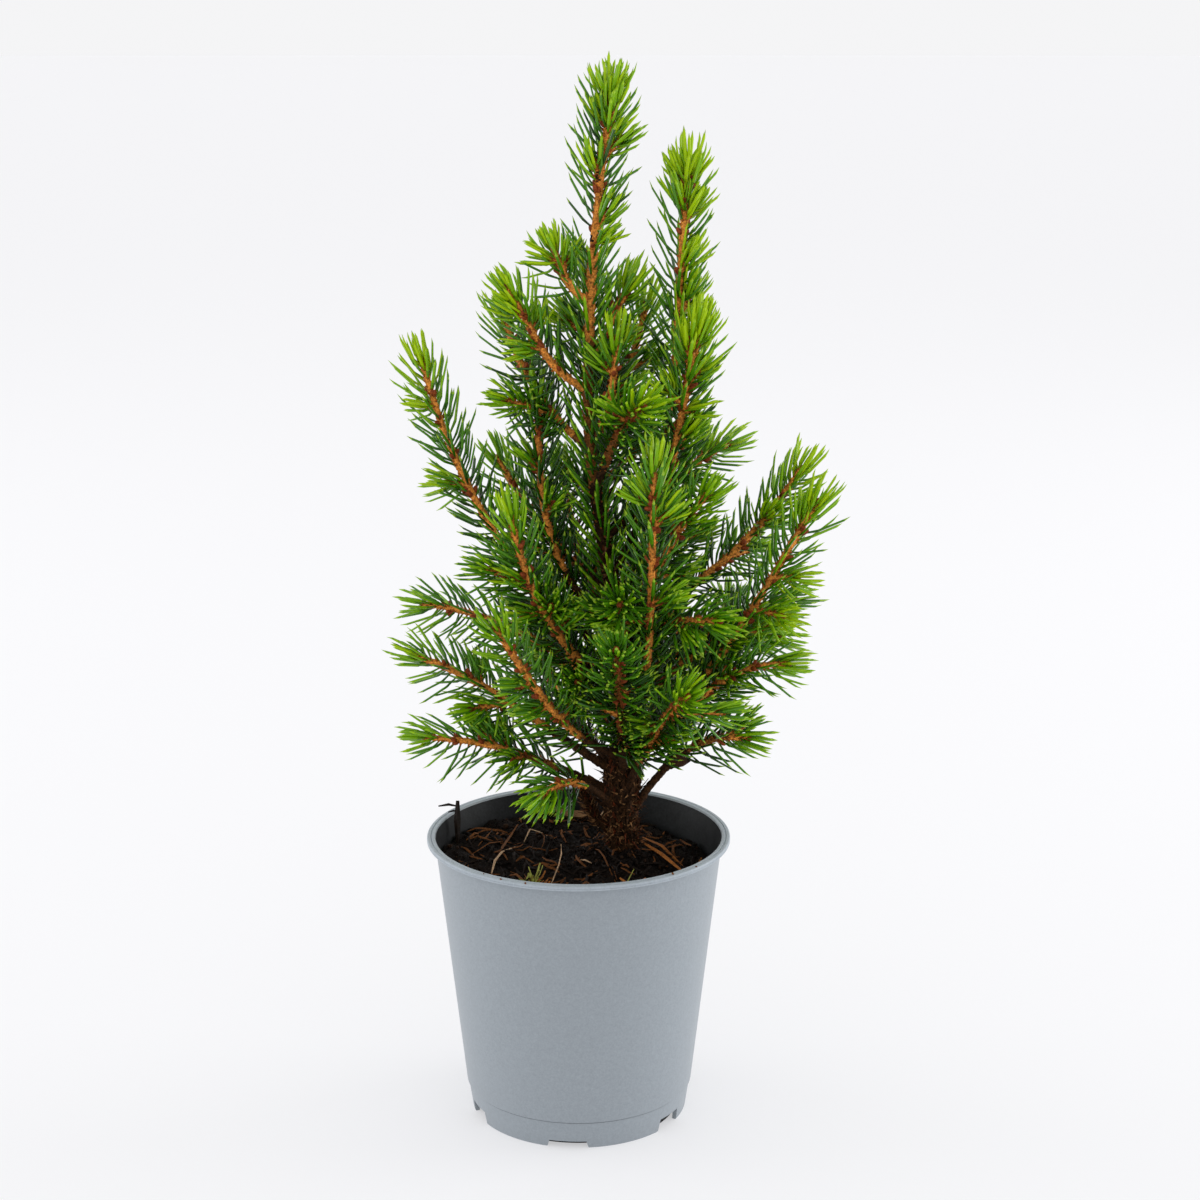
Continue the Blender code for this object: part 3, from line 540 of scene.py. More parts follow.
# Needles on the trunk's young stretch
TRUNK_NEEDLES = (0.128, 0.2585)
TRUNK_SPIRAL_SCATTER = 16
TRUNK_NEEDLE_ANGLES = (36, 56)
TRUNK_NEEDLE_BENDS = (0.12, 0.26)
TRUNK_NEEDLE_LENGTHS = (0.86, 1.08)
TRUNK_NEEDLE_ROOTING = 0.7
TRUNK_NEEDLES_APART = (0.9, 1.7)
TRUNK_NEEDLE_GREENS = 0.8
CLOSE_BELOW = 0.185
CLOSE_TRUNK_SPACING = 0.8

# Tones: the level that each line starts from, what its fresh tip, its place and its height add or take,
# and how needles vary. What the height adds is painted light: the higher crown is lighter.
TONE_BASE = 1.05
TIP_TONE = 1.8
TIP_TONE_REACH = 0.0075
TIP_TONE_FADE = 1.5
CROWN_TONE = 0.35
CROWN_TONE_REACH = 0.02
INNER_SHADE = 1.1
INNER_SHADE_REACH = 0.021
OPEN_CROWN_HEIGHT = 0.23
OPEN_CROWN_SHADE = 0.3
OUTER_TONE = 0.3
OUTER_TONE_FROM = 0.024
OUTER_TONE_SPAN = 0.02
HIGH_PAINTED_LIGHT = 0.30
HIGH_PAINTED_LIGHT_FROM = 0.19
HIGH_PAINTED_LIGHT_SPAN = 0.05
TONE_SCATTER = (-0.42, 0.72)

# Buds: their form, their sizes, how far behind a shoot's tip they sit and how far off its line, and the
# shoot whose twigs have none on their sides
BUD_FORM = (0.40, 0.40, 0.70)
SHOOT_BUD = 0.0022
TWIG_BUD = 0.0019
SIDE_BUDS = (0.0013, 0.0022)
BUD_RINGS = (0.0085, 0.0165, 0.0270, 0.0390)
BUDS_IN_RING = 3
BUD_STRETCH = 0.85
BUD_OUT = 0.0014
BUD_SHIFTS = (-0.0008, 0.0012)
TWIG_BUD_SHARE = 0.1
BUDLESS_SHOOT = "rim_left"

# Straws and twigs that stand out: a colour, half a width, and places in millimetres on the soil
LITTER = (
    ("pale", 0.38, ((-25.5, -13.7, 1.0), (-24.6, -8.0, 1.8), (-22.8, -1.0, 1.8), (-18.9, 7.2, 0.8))),
    ("brown", 0.40, ((-24.6, -6.8, 0.6), (-22.8, 5.0, 1.4), (-21.0, 16.0, 1.6), (-18.7, 22.8, 0.6))),
    ("brown", 0.30, ((-32.1, 1.1, 0.6), (-27.0, 7.0, 1.2), (-22.1, 12.7, 0.6))),
    ("pale", 0.32, ((-16.9, 14.6, 0.4), (-14.9, 19.1, 1.6), (-12.0, 19.6, 1.8), (-8.9, 17.7, 0.6))),
    ("orange", 0.62, ((19.5, 16.9, 1.2), (25.0, 8.5, 1.6), (31.1, -0.4, 0.8))),
    ("orange", 0.85, ((17.3, 8.9, 1.6), (24.5, -0.4, 2.0), (31.8, -10.0, 1.0))),
    ("brown", 0.30, ((2.5, 7.3, 0.4), (6.0, 1.0, 1.2), (7.5, -3.2, 1.2), (10.9, -15.9, 0.4))),
    ("orange", 0.80, ((12.1, -14.2, 1.0), (15.0, -17.6, 1.2), (17.7, -20.9, 0.8))),
    ("orange", 0.75, ((17.5, -19.2, 1.2), (19.4, -16.7, 1.4), (21.3, -14.3, 0.8))),
    ("moss", 0.22, ((11.9, -21.6, 0.6), (14.0, -17.0, 1.8), (16.2, -12.6, 2.6))),
    ("bark", 2.1, ((-8.4, 34.6, 1.8), (-3.4, 34.8, 2.3), (1.0, 35.0, 2.6), (4.6, 35.2, 2.6))),
    ("pale", 0.40, ((0.1, -1.9, 0.6), (2.0, -3.2, 1.0), (3.8, -4.6, 0.6))),
    ("orange", 0.50, ((37.0, 6.7, 0.8), (36.0, 0.0, 1.4), (33.6, -6.4, 0.8))),
    ("pale", 0.28, ((5.9, 26.3, 0.8), (6.8, 32.0, 2.0), (8.2, 36.9, 3.0))),
    ("brown", 0.30, ((-30.3, 6.7, 0.8), (-28.0, 12.0, 1.4), (-26.7, 16.5, 0.8))),
    ("dark", 1.05, ((-36.6, 11.0, 0.6), (-36.8, 14.0, 6.0), (-36.7, 16.0, 11.2))),
    ("dark", 0.62, ((-36.6, 15.5, 9.6), (-39.5, 16.5, 10.1), (-42.6, 17.0, 9.7))),
    ("dark", 0.50, ((-36.7, 15.0, 8.2), (-38.0, 15.4, 8.6), (-39.6, 15.8, 8.3))),
    ("pale", 0.26, (
        (-8.7, -19.6, 0.6), (-7.5, -19.6, 3.2), (-5.8, -19.8, 7.4), (-5.0, -19.9, 10.6), (-5.1, -20.0, 13.6),
    )),
)

# Crumbs on the pot's lip: headings in degrees, and radii and sizes in millimetres
LIP_SPECKS = (
    (-119.4, 44.6, 0.42),
    (-109.5, 44.8, 0.50),
    (-53.0, 44.2, 0.55),
    (-41.2, 44.6, 0.35),
    (-128.0, 43.6, 0.3),
)
LIP_SPECK_LIFT = 0.25

# Colours that others are blended with, and the needles' sheen with what each fresher tone loses of it
TAN = (0.95, 0.50, 0.20)
PALE_STRAW = (0.62, 0.48, 0.32)
BARK_CHIP = (0.25, 0.16, 0.08)
NEEDLE_SHEEN = 0.46
SHEEN_LOSS = 0.10

# The stage: the floor, the pale surroundings and two soft lights aimed at the crown's middle
FLOOR_RADIUS = 40.0
FLOOR_SIDES = 96
SKY_COLOUR = (0.99, 0.99, 1.0)
SKY_STRENGTH = 0.92
LIGHT_AIM = (0, 0, 0.14)
LIGHT_SIZE = (1.0, 0.7)
SIDE_LIGHTS = (
    ("side_left", (-1.6, 0.35, 0.35), 7.0),
    ("side_right", (1.6, 0.35, 0.35), 11.0),
)
SENSOR_WIDTH = 36.0
CLIP_START = 0.01


class NeedleSettings(bpy.types.PropertyGroup):
    """Sizes and colours of the needles."""

    length: FloatProperty(
        name="Length", description="Length of a full needle", default=0.0138, unit="LENGTH"
    )
    width: FloatProperty(
        name="Width", description="Width of a needle at its middle", default=0.00101, unit="LENGTH"
    )
    spacing: FloatProperty(
        name="Spacing", description="Distance along a stem from one needle to the next",
        default=0.00047, unit="LENGTH",
    )
    crown_spacing: FloatProperty(
        name="Crown spacing", description="The same distance at a shoot's tip",
        default=0.00021, unit="LENGTH",
    )
    crown_length: FloatProperty(
        name="Crown length", description="How far back from its tip a shoot is crowded",
        default=0.010, unit="LENGTH",
    )
    back_angle: FloatProperty(
        name="Back angle", description="Angle to the stem, in degrees, behind the crown", default=64.0
    )
    tip_angle: FloatProperty(
        name="Tip angle", description="Angle to the stem, in degrees, at its tip", default=36.0
    )
    shade: FloatVectorProperty(
        name="Shade", description="Needles deep in the crown",
        default=(0.013, 0.058, 0.0010), subtype="COLOR",
    )
    green: FloatVectorProperty(
        name="Green", description="Grown needles", default=(0.043, 0.182, 0.0030), subtype="COLOR"
    )
    bright: FloatVectorProperty(
        name="Bright", description="Needles near the shoots' tips",
        default=(0.162, 0.398, 0.0030), subtype="COLOR",
    )
    fresh: FloatVectorProperty(
        name="Fresh", description="Needles of the newest crowns",
        default=(0.375, 0.575, 0.004), subtype="COLOR",
    )


class WoodSettings(bpy.types.PropertyGroup):
    """Relief and colours of the wood, and the colour of the buds."""

    trunk_relief: FloatProperty(
        name="Trunk relief", description="Height of the trunk's bark scales",
        default=0.0012, unit="LENGTH",
    )
    stem_relief: FloatProperty(
        name="Stem relief", description="Height of the pegs on young stems",
        default=0.00042, unit="LENGTH",
    )
    old_bark: FloatVectorProperty(
        name="Old bark", description="The trunk's foot", default=(0.058, 0.024, 0.008), subtype="COLOR"
    )
    young_bark: FloatVectorProperty(
        name="Young bark", description="Stems that carry needles",
        default=(0.665, 0.245, 0.042), subtype="COLOR",
    )
    bud: FloatVectorProperty(
        name="Bud", description="Resting buds", default=(0.240, 0.050, 0.012), subtype="COLOR"
    )


class PotSettings(bpy.types.PropertyGroup):
    """Colours of the pot and the size of its speckle."""

    outside: FloatVectorProperty(
        name="Outside", description="Outside of the pot and its rim",
        default=(0.295, 0.330, 0.362), subtype="COLOR",
    )
    # Also the colour under the pot's floor, where it is painted shade
    inside: FloatVectorProperty(
        name="Inside", description="Inside of the pot", default=(0.014, 0.015, 0.016), subtype="COLOR"
    )
    speckle: FloatProperty(
        name="Speckle size", description="Size of the plastic's speckle", default=0.0005, unit="LENGTH"
    )


class SoilSettings(bpy.types.PropertyGroup):
    """Numbers, size and colours of the soil's crumbs, fibres and litter."""

    crumbs: IntProperty(name="Crumbs", description="Number of loose crumbs", default=1500, min=0)
    fibres: IntProperty(name="Fibres", description="Number of loose dark fibres", default=380, min=0)
    crumb_size: FloatProperty(
        name="Crumb size", description="Radius of the largest crumbs", default=0.0011, unit="LENGTH"
    )
    # The soil's colour is partly the moist soil's own dark, partly painted shade under the foliage
    soil: FloatVectorProperty(
        name="Soil", description="Moist potting soil", default=(0.0046, 0.0019, 0.0007), subtype="COLOR"
    )
    straw: FloatVectorProperty(
        name="Straw", description="Dry orange needles and straws",
        default=(0.390, 0.135, 0.030), subtype="COLOR",
    )
    moss: FloatVectorProperty(
        name="Moss", description="Moss and sprouts", default=(0.330, 0.340, 0.070), subtype="COLOR"
    )


class StageSettings(bpy.types.PropertyGroup):
    """The camera and the floor."""

    distance: FloatProperty(
        name="Distance", description="Camera in front of the pot's axis", default=0.6486, unit="LENGTH"
    )
    height: FloatProperty(
        name="Height", description="Camera above the floor", default=0.3162, unit="LENGTH"
    )
    pitch: FloatProperty(name="Pitch", description="Camera's tilt down", default=0.2403, subtype="ANGLE")
    turn: FloatProperty(
        name="Turn", description="Camera's turn to the right", default=0.0098, subtype="ANGLE"
    )
    lens: FloatProperty(
        name="Lens", description="Focal length in millimetres on a 36 mm sensor", default=69.04
    )
    floor: FloatVectorProperty(
        name="Floor", description="Floor and backdrop", default=(0.94, 0.94, 0.955), subtype="COLOR"
    )
    floor_glow: FloatProperty(
        name="Floor glow", description="Share of the floor's brightness of its own", default=0.5
    )


def settings(group):
    """The scene's settings of that group."""
    return getattr(bpy.context.scene, "potted_conifer_" + group)


def direction(heading, slope):
    """A unit vector with that heading round +Z and that slope upwards, in degrees."""
    h, s = math.radians(heading), math.radians(slope)
    return Vector((math.cos(h) * math.cos(s), math.sin(h) * math.cos(s), math.sin(s)))


def hump(distance, span):
    """A smooth share that is 1 at no distance and fades over the span."""
    return math.exp(-((distance / span) ** 2))


def ramp(distance, span):
    """The distance as a share of the span, kept from 0 to 1."""
    return min(1.0, max(0.0, distance / span))


def grain(spot):
    """Fine uneven noise at a spot."""
    return noise.fractal(spot, 1.0, 2.0, 3)


def link_piece(name, mesh, materials, slot, *nodes):
    """Makes a mesh the piece of that name, which stands for the nodes."""
    for made in materials:
        mesh.materials.append(made)
    piece = bpy.data.objects.new(name, mesh)
    bpy.context.scene.collection.objects.link(piece)
    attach(piece, "root")
    if nodes:
        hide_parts(*nodes)
    return piece


def mesh_from_bmesh(name, bm):
    """A new mesh of a bmesh, which is freed."""
    mesh = bpy.data.meshes.new(name)
    bm.to_mesh(mesh)
    bm.free()
    return mesh


def smooth(mesh, degrees):
    """Shades a mesh smooth, but for edges sharper than that angle."""
    mesh.shade_smooth()
    mesh.set_sharp_from_angle(angle=math.radians(degrees))


def shape_of(bm):
    """A bmesh's points and faces, for copies in a joined mesh. The bmesh is freed."""
    points = [vert.co.copy() for vert in bm.verts]
    faces = [tuple(vert.index for vert in face.verts) for face in bm.faces]
    bm.free()
    return points, faces


def joined_mesh(name, shapes):
    """One mesh from (points, faces, slot of each face) arrays of many small closed shapes."""
    points, faces, slots = [], [], []
    for shape_points, shape_faces, shape_slots in shapes:
        base = len(points)
        points.extend(shape_points)
        faces.extend([tuple(base + corner for corner in face) for face in shape_faces])
        slots.extend(shape_slots)
    mesh = bpy.data.meshes.new(name)
    mesh.from_pydata(points, [], faces)
    mesh.polygons.foreach_set("material_index", slots)
    mesh.update()
    return mesh


# Materials


def plain_material(name, colour, roughness, specular):
    """A Principled material of one colour."""
    made = bpy.data.materials.new(name)
    made.use_nodes = True
    shader = made.node_tree.nodes["Principled BSDF"]
    shader.inputs["Base Color"].default_value = (*colour, 1.0)
    shader.inputs["Roughness"].default_value = roughness
    shader.inputs["Specular IOR Level"].default_value = specular
    return made


# The Mottle group's inputs, with what they start from
MOTTLE_INPUTS = (
    ("Coarse Scale", "NodeSocketFloat", 300.0),
    ("Fine Scale", "NodeSocketFloat", 1500.0),
    ("Fine Share", "NodeSocketFloat", 0.5),
    ("Low", "NodeSocketFloat", 0.35),
    ("High", "NodeSocketFloat", 0.65),
    ("Dark", "NodeSocketColor", (0.1, 0.1, 0.1, 1.0)),
    ("Light", "NodeSocketColor", (0.4, 0.4, 0.4, 1.0)),
)
MOTTLE_DETAIL = 4.0

# A Mix node's sockets share their names, so they are found by their order
MIX_VALUES, MIX_VALUE = (2, 3), 0
MIX_COLOURS, MIX_COLOUR = (6, 7), 2


def mottle_sockets(group):
    """Gives the Mottle group its inputs and outputs."""
    for name, kind, value in MOTTLE_INPUTS:
        socket = group.interface.new_socket(name, in_out="INPUT", socket_type=kind)
        socket.default_value = value
    group.interface.new_socket("Colour", in_out="OUTPUT", socket_type="NodeSocketColor")
    group.interface.new_socket("Height", in_out="OUTPUT", socket_type="NodeSocketFloat")


def mottle_group():
    """Coarse and fine noise that mix a dark and a light colour, and the same noise as a height."""
    if "Mottle" in bpy.data.node_groups:
        return bpy.data.node_groups["Mottle"]
    group = bpy.data.node_groups.new("Mottle", "ShaderNodeTree")
    mottle_sockets(group)
    nodes, links = group.nodes, group.links
    given = nodes.new("NodeGroupInput")
    result = nodes.new("NodeGroupOutput")
    place = nodes.new("ShaderNodeTexCoord")
    mixed = nodes.new("ShaderNodeMix")
    links.new(given.outputs["Fine Share"], mixed.inputs["Factor"])
    for scale, socket in zip(("Coarse Scale", "Fine Scale"), MIX_VALUES):
        texture = nodes.new("ShaderNodeTexNoise")
        texture.inputs["Detail"].default_value = MOTTLE_DETAIL
        links.new(place.outputs["Object"], texture.inputs["Vector"])
        links.new(given.outputs[scale], texture.inputs["Scale"])
        links.new(texture.outputs["Fac"], mixed.inputs[socket])
    spread = nodes.new("ShaderNodeMapRange")
    links.new(mixed.outputs[MIX_VALUE], spread.inputs["Value"])
    links.new(given.outputs["Low"], spread.inputs["From Min"])
    links.new(given.outputs["High"], spread.inputs["From Max"])
    paint = nodes.new("ShaderNodeMix")
    paint.data_type = "RGBA"
    links.new(spread.outputs["Result"], paint.inputs["Factor"])
    for colour, socket in zip(("Dark", "Light"), MIX_COLOURS):
        links.new(given.outputs[colour], paint.inputs[socket])
    links.new(paint.outputs[MIX_COLOUR], result.inputs["Colour"])
    links.new(spread.outputs["Result"], result.inputs["Height"])
    return group


def mottled(name, colours, roughness, sizes, relief, fine_share=0.6, spread=(0.35, 0.65), specular=0.15):
    """A Principled material mottled from a dark to a light colour, whose bump has that relief in metres.

    The sizes are those of its coarse and its fine spots, also in metres.
    """
    dark, light = colours
    made = plain_material(name, light, roughness, specular)
    nodes, links = made.node_tree.nodes, made.node_tree.links
    shader = nodes["Principled BSDF"]
    mottle = nodes.new("ShaderNodeGroup")
    mottle.node_tree = mottle_group()
    values = {
        "Coarse Scale": 1.0 / sizes[0],
        "Fine Scale": 1.0 / sizes[1],
        "Fine Share": fine_share,
        "Low": spread[0],
        "High": spread[1],
        "Dark": (*dark, 1.0),
        "Light": (*light, 1.0),
    }
    for socket, value in values.items():
        mottle.inputs[socket].default_value = value
    links.new(mottle.outputs["Colour"], shader.inputs["Base Color"])
    bump = nodes.new("ShaderNodeBump")
    bump.inputs["Distance"].default_value = relief
    links.new(mottle.outputs["Height"], bump.inputs["Height"])
    links.new(bump.outputs["Normal"], shader.inputs["Normal"])
    return made


def scaled(colour, share):
    return tuple(channel * share for channel in colour)


def shades(colour, dark, light):
    """A darker and a lighter shade of a colour."""
    return scaled(colour, dark), scaled(colour, light)


def blend(one, other, share):
    return tuple(a + (b - a) * share for a, b in zip(one, other))


# The lines that everything grows on


def trunk_point(height):
    """The trunk's centre at a height, on a smooth line through TRUNK_LINE."""
    knots = TRUNK_LINE
    height = min(max(height, knots[0][0]), knots[-1][0])
    i = max(k for k in range(len(knots) - 1) if knots[k][0] <= height)
    before, start = knots[max(i - 1, 0)], knots[i]
    end, after = knots[i + 1], knots[min(i + 2, len(knots) - 1)]
    span = end[0] - start[0]
    t = (height - start[0]) / span
    place = []
    for axis in (1, 2):
        slope_in = (end[axis] - before[axis]) / (end[0] - before[0]) * span
        slope_out = (after[axis] - start[axis]) / (after[0] - start[0]) * span
        if i == 0:
            slope_in = 0.0
        place.append(
            (2 * t**3 - 3 * t**2 + 1) * start[axis]
            + (t**3 - 2 * t**2 + t) * slope_in
            + (3 * t**2 - 2 * t**3) * end[axis]
            + (t**3 - t**2) * slope_out
        )
    return Vector((*place, height))


def root_flare(height):
    """How much the trunk widens towards its foot."""
    return FLARE_RADIUS * math.exp(-((height - TRUNK_FOOT) / FLARE_HEIGHT) ** FLARE_FADE)


def trunk_radius(height):
    """The trunk's radius, tapered upwards and flared at its foot."""
    share = min(1.0, (height - TRUNK_FOOT) / (TRUNK_LINE[-1][0] - TRUNK_FOOT))
    plain = TRUNK_TIP_RADIUS + (TRUNK_FOOT_RADIUS - TRUNK_TIP_RADIUS) * (1 - share) ** TRUNK_TAPER
    return plain + root_flare(height)


class Twig:
    """A straight side twig, rooted in its stem."""

    def __init__(self, root, tip):
        self.root = root
        self.tip = tip
        self.length = (tip - root).length

    def at(self, t):
        return self.root.lerp(self.tip, t)

    def tangent(self, t):
        return (self.tip - self.root).normalized()


class Stem:
    """A shoot's line from its foot to its tip, which its bough and then its foliage follow."""

    def __init__(self, shoot, order):
        self.shoot = shoot
        self.random = random.Random(FIRST_SEED + order)
        axis = trunk_point(shoot.foot)
        out = direction(shoot.heading, 0)
        if shoot.foot == TRUNK_LINE[-1][0]:
            self.root = axis + direction(shoot.heading, shoot.leave) * GAP
        else:
            lean = self.foot_radius() * math.sin(math.radians(shoot.leave))
            self.root = axis + out * (trunk_radius(shoot.foot) + GAP + lean)
        self.tip = axis + out * shoot.reach
        self.tip.z = shoot.top
        handle = (self.tip - self.root).length * HANDLE_SHARE
        self.first = self.root + direction(shoot.heading, shoot.leave) * handle
        self.second = self.tip - direction(shoot.heading, shoot.finish) * handle
        places = [self.along(k / LINE_STEPS) for k in range(LINE_STEPS + 1)]
        self.whole = sum((after - before).length for before, after in zip(places, places[1:]))
        self.bare = shoot.bough
        self.length = self.whole * (1 - self.bare)

    def foot_radius(self):
        if not self.shoot.bough:
            return STEM_RADIUS
        return WOOD_RADIUS + WOOD_THICKENING * self.shoot.reach

    def along(self, t):
        """The point at a share of the whole line, from the trunk to the tip."""
        a, b, c, d = self.root, self.first, self.second, self.tip
        return a * (1 - t) ** 3 + b * 3 * t * (1 - t) ** 2 + c * 3 * t**2 * (1 - t) + d * t**3

    def at(self, t):
        """The point at a share of the stretch that carries foliage."""
        return self.along(self.bare + (1 - self.bare) * t)

    def tangent(self, t):
        return (self.at(t + TANGENT_STEP) - self.at(t - TANGENT_STEP)).normalized()


def listed_twigs(stem):
    """The side twigs that SIDE_SHOOTS gives a stem."""
    twigs = []
    for share, heading, slope, length in SIDE_SHOOTS[stem.shoot.name]:
        root = stem.at(share)
        twigs.append(Twig(root, root + direction(heading, slope) * length / 1000))
    return twigs


def side_twigs(stem):
    """Straight side twigs, left and right in turn, on a stem long enough to carry them."""
    if stem.shoot.name in SIDE_SHOOTS:
        return listed_twigs(stem)
    if stem.length < TWIG_MIN_STEM:
        return []
    count = 1 + int(stem.length / TWIG_STEP)
    twigs = []
    for k in range(count):
        t = TWIG_FIRST + (TWIG_LAST - TWIG_FIRST) * (k + 0.5) / count
        along = stem.tangent(t)
        level = along.cross(Vector((0, 0, 1)))
        if level.length < STEEP:
            level = direction(stem.shoot.heading + 90, 0)
        side = level.normalized() * (1 if k % 2 else -1)
        side = Quaternion(along, math.radians(stem.random.uniform(-TWIG_ROLL, TWIG_ROLL))) @ side
        scatter = stem.random.uniform(-TWIG_SPREAD_SCATTER, TWIG_SPREAD_SCATTER)
        spread = math.radians(TWIG_SPREAD + scatter)
        share = (1 - t) * stem.length * stem.random.uniform(*TWIG_LENGTH_SHARES)
        length = min(TWIG_MAX_LENGTH, share)
        root = stem.at(t)
        twigs.append(Twig(root, root + (along * math.cos(spread) + side * math.sin(spread)) * length))
    return twigs


class TrunkTop:
    """The trunk's young upper stretch, which still carries needles of its own."""

    low, high = TRUNK_NEEDLES
    length = high - low
    step = 0.02

    def at(self, t):
        return trunk_point(self.low + self.length * t)

    def tangent(self, t):
        return (self.at(min(1.0, t + self.step)) - self.at(max(0.0, t - self.step))).normalized()


def plant_lines():
    """Every stem with its side twigs."""
    stems = [Stem(shoot, order) for order, shoot in enumerate(SHOOTS)]
    return [(stem, side_twigs(stem)) for stem in stems]


# Wood


def tubes(paths, sides):
    """Closed round tubes, one along each path of (point, radius) pairs, as a bmesh with welded caps."""
    curve = bpy.data.curves.new("tubes", "CURVE")
    curve.dimensions = "3D"
    curve.bevel_depth = 1.0
    curve.bevel_resolution = (sides - 4) // 2
    curve.use_fill_caps = True
    for path in paths:
        spline = curve.splines.new("POLY")
        spline.points.add(len(path) - 1)
        for knot, (point, radius) in zip(spline.points, path):
            knot.co = (*point, 1.0)
            knot.radius = radius
    source = bpy.data.objects.new("tubes", curve)
    bpy.context.scene.collection.objects.link(source)
    depsgraph = bpy.context.evaluated_depsgraph_get()
    mesh = bpy.data.meshes.new_from_object(source.evaluated_get(depsgraph))
    bpy.data.objects.remove(source)
    bpy.data.curves.remove(curve)
    bm = bmesh.new()
    bm.from_mesh(mesh)
    bpy.data.meshes.remove(mesh)
    bmesh.ops.remove_doubles(bm, verts=bm.verts, dist=TUBE_WELD)
    bmesh.ops.recalc_face_normals(bm, faces=bm.faces)
    bm.normal_update()
    return bm


def bark_radius(height):
    """The trunk's radius under its bark relief, swollen where the lowest boughs leave and little flared."""
    height = max(height, TRUNK_FOOT)
    flare = root_flare(height)
    flare += FOOT_SLIMNESS * hump(height - TRUNK_FOOT, SLIM_HEIGHT)
    return trunk_radius(height) - flare + WHORL_SWELL * hump(height - WHORL_HEIGHT, WHORL_SPAN)


def bark_scale(place, width, stretch, steepness):
    """How far a place stands up on scales or pegs of that width: 0 in the cracks, 1 on top."""
    spot = place / width
    spot.z /= stretch
    near, second = noise.voronoi(spot)[0][:2]
    return min(1.0, (second - near) * steepness)


def raise_relief(bm, height, width, stretch):
    """Moves points along their normals for scales or pegs of that width, stretched upwards."""
    scales, fine, sunk = BOUGH_BARK
    for vert in bm.verts:
        scale = bark_scale(vert.co, width, stretch, BOUGH_SCALE_STEEPNESS)
        rough = grain(vert.co / (width * BOUGH_GRAIN_SHARE))
        vert.co += vert.normal * height * (scales * scale + fine * rough - sunk)


def line_path(line, radius_at, step):
    """(point, radius) pairs along a line."""
    count = max(4, round(line.length / step))
    return [(line.at(k / count), radius_at(k / count)) for k in range(count + 1)]


def paint_by_age(mesh, limits):
    """Gives faces the first slot low down and the next ones above each height, with a ragged border."""
    for face in mesh.polygons:
        age = face.center.z + AGE_WANDER * noise.noise(face.center / AGE_PATCH)
        face.material_index = sum(age > limit for limit in limits)


def paint_by_reach(mesh, limits):
    """Gives faces near the trunk's line the first slot and the next ones beyond each limit."""
    for face in mesh.polygons:
        height = face.center.z
        share = ramp(OLD_AND_SHADED_WOOD_TOP - height, OLD_AND_SHADED_WOOD_FADE)
        if height < LOW_WOOD_TOP and face.center.y > LOW_WOOD_FRONT:
            share = LOW_WOOD_SHARE
        # Darker slots near the trunk: partly old bark, partly painted shade
        away = (face.center.xy - trunk_point(height).xy).length
        away += REACH_WANDER * noise.noise(face.center / REACH_PATCH)
        face.material_index = sum(away > limit * share for limit in limits)


def raise_root_ridges(bm):
    """Swells the trunk's foot into ridges that twist a little."""
    for vert in bm.verts:
        centre = trunk_point(vert.co.z)
        away = vert.co.xy - centre.xy
        angle = math.atan2(away.y, away.x)
        above = vert.co.z - TRUNK_FOOT
        foot = hump(above, RIDGE_HEIGHT)
        swell = RIDGE_SWELL * foot * math.cos(ROOT_RIDGES * (angle - RIDGE_TURN) + RIDGE_TWIST * above)
        vert.co.xy += away.normalized() * swell
    bm.normal_update()


def raise_trunk_bark(bm, relief, top):
    """Moves the trunk's points along their normals for scales, coarse low down and fine at the top."""
    scales, fine, sunk = TRUNK_BARK
    widest, narrowing = TRUNK_SCALE_WIDTHS
    everywhere, lower, foot = TRUNK_RELIEF_SHARES
    for vert in bm.verts:
        above = vert.co.z - TRUNK_FOOT
        share = above / (top - TRUNK_FOOT)
        width = widest - narrowing * share
        scale = bark_scale(vert.co, width, TRUNK_SCALE_STRETCH, TRUNK_SCALE_STEEPNESS)
        rough = grain(vert.co / TRUNK_GRAIN)
        height = relief * (everywhere + lower * (1.0 - share) ** 2 + foot * hump(above, SLIM_HEIGHT))
        vert.co += vert.normal * height * (scales * scale + fine * rough - sunk)


def trunk_bmesh(relief):
    """The trunk with root ridges, a swollen whorl and scaly bark."""
    top = TRUNK_LINE[-1][0] + TRUNK_TOP_LIFT
    span = top - TRUNK_FOOT + TRUNK_FOOT_DEPTH
    path = []
    for k in range(TRUNK_STEPS + 1):
        height = TRUNK_FOOT - TRUNK_FOOT_DEPTH + span * k / TRUNK_STEPS
        point = Vector((*trunk_point(height).xy, height))
        path.append((point, bark_radius(point.z)))
    bm = tubes([path], TRUNK_SIDES)
    raise_root_ridges(bm)
    raise_trunk_bark(bm, relief, top)
    return bm


def flake_shape(root, along, out, size, breadth, slot):
    """A thin scale of bark as a low wedge, rooted at its thick end."""
    across = along.cross(out).normalized() * breadth
    lift = out * min(size * FLAKE_THICKNESS, FLAKE_MAX_THICKNESS)
    tip = root + along * size + lift * 0.5
    points = [root - across, root + across, root + across + lift, root - across + lift, tip]
    faces = [(0, 1, 4), (1, 2, 4), (2, 3, 4), (3, 0, 4), (3, 2, 1, 0)]
    return points, faces, [slot] * len(faces)


def flake_lean(kind, out, up, chance):
    """The way a flake of a kind points, out from the bark and up along it."""
    lean = out * chance.uniform(*kind.out)
    return lean + (up * chance.uniform(*kind.up) if kind.up else up)


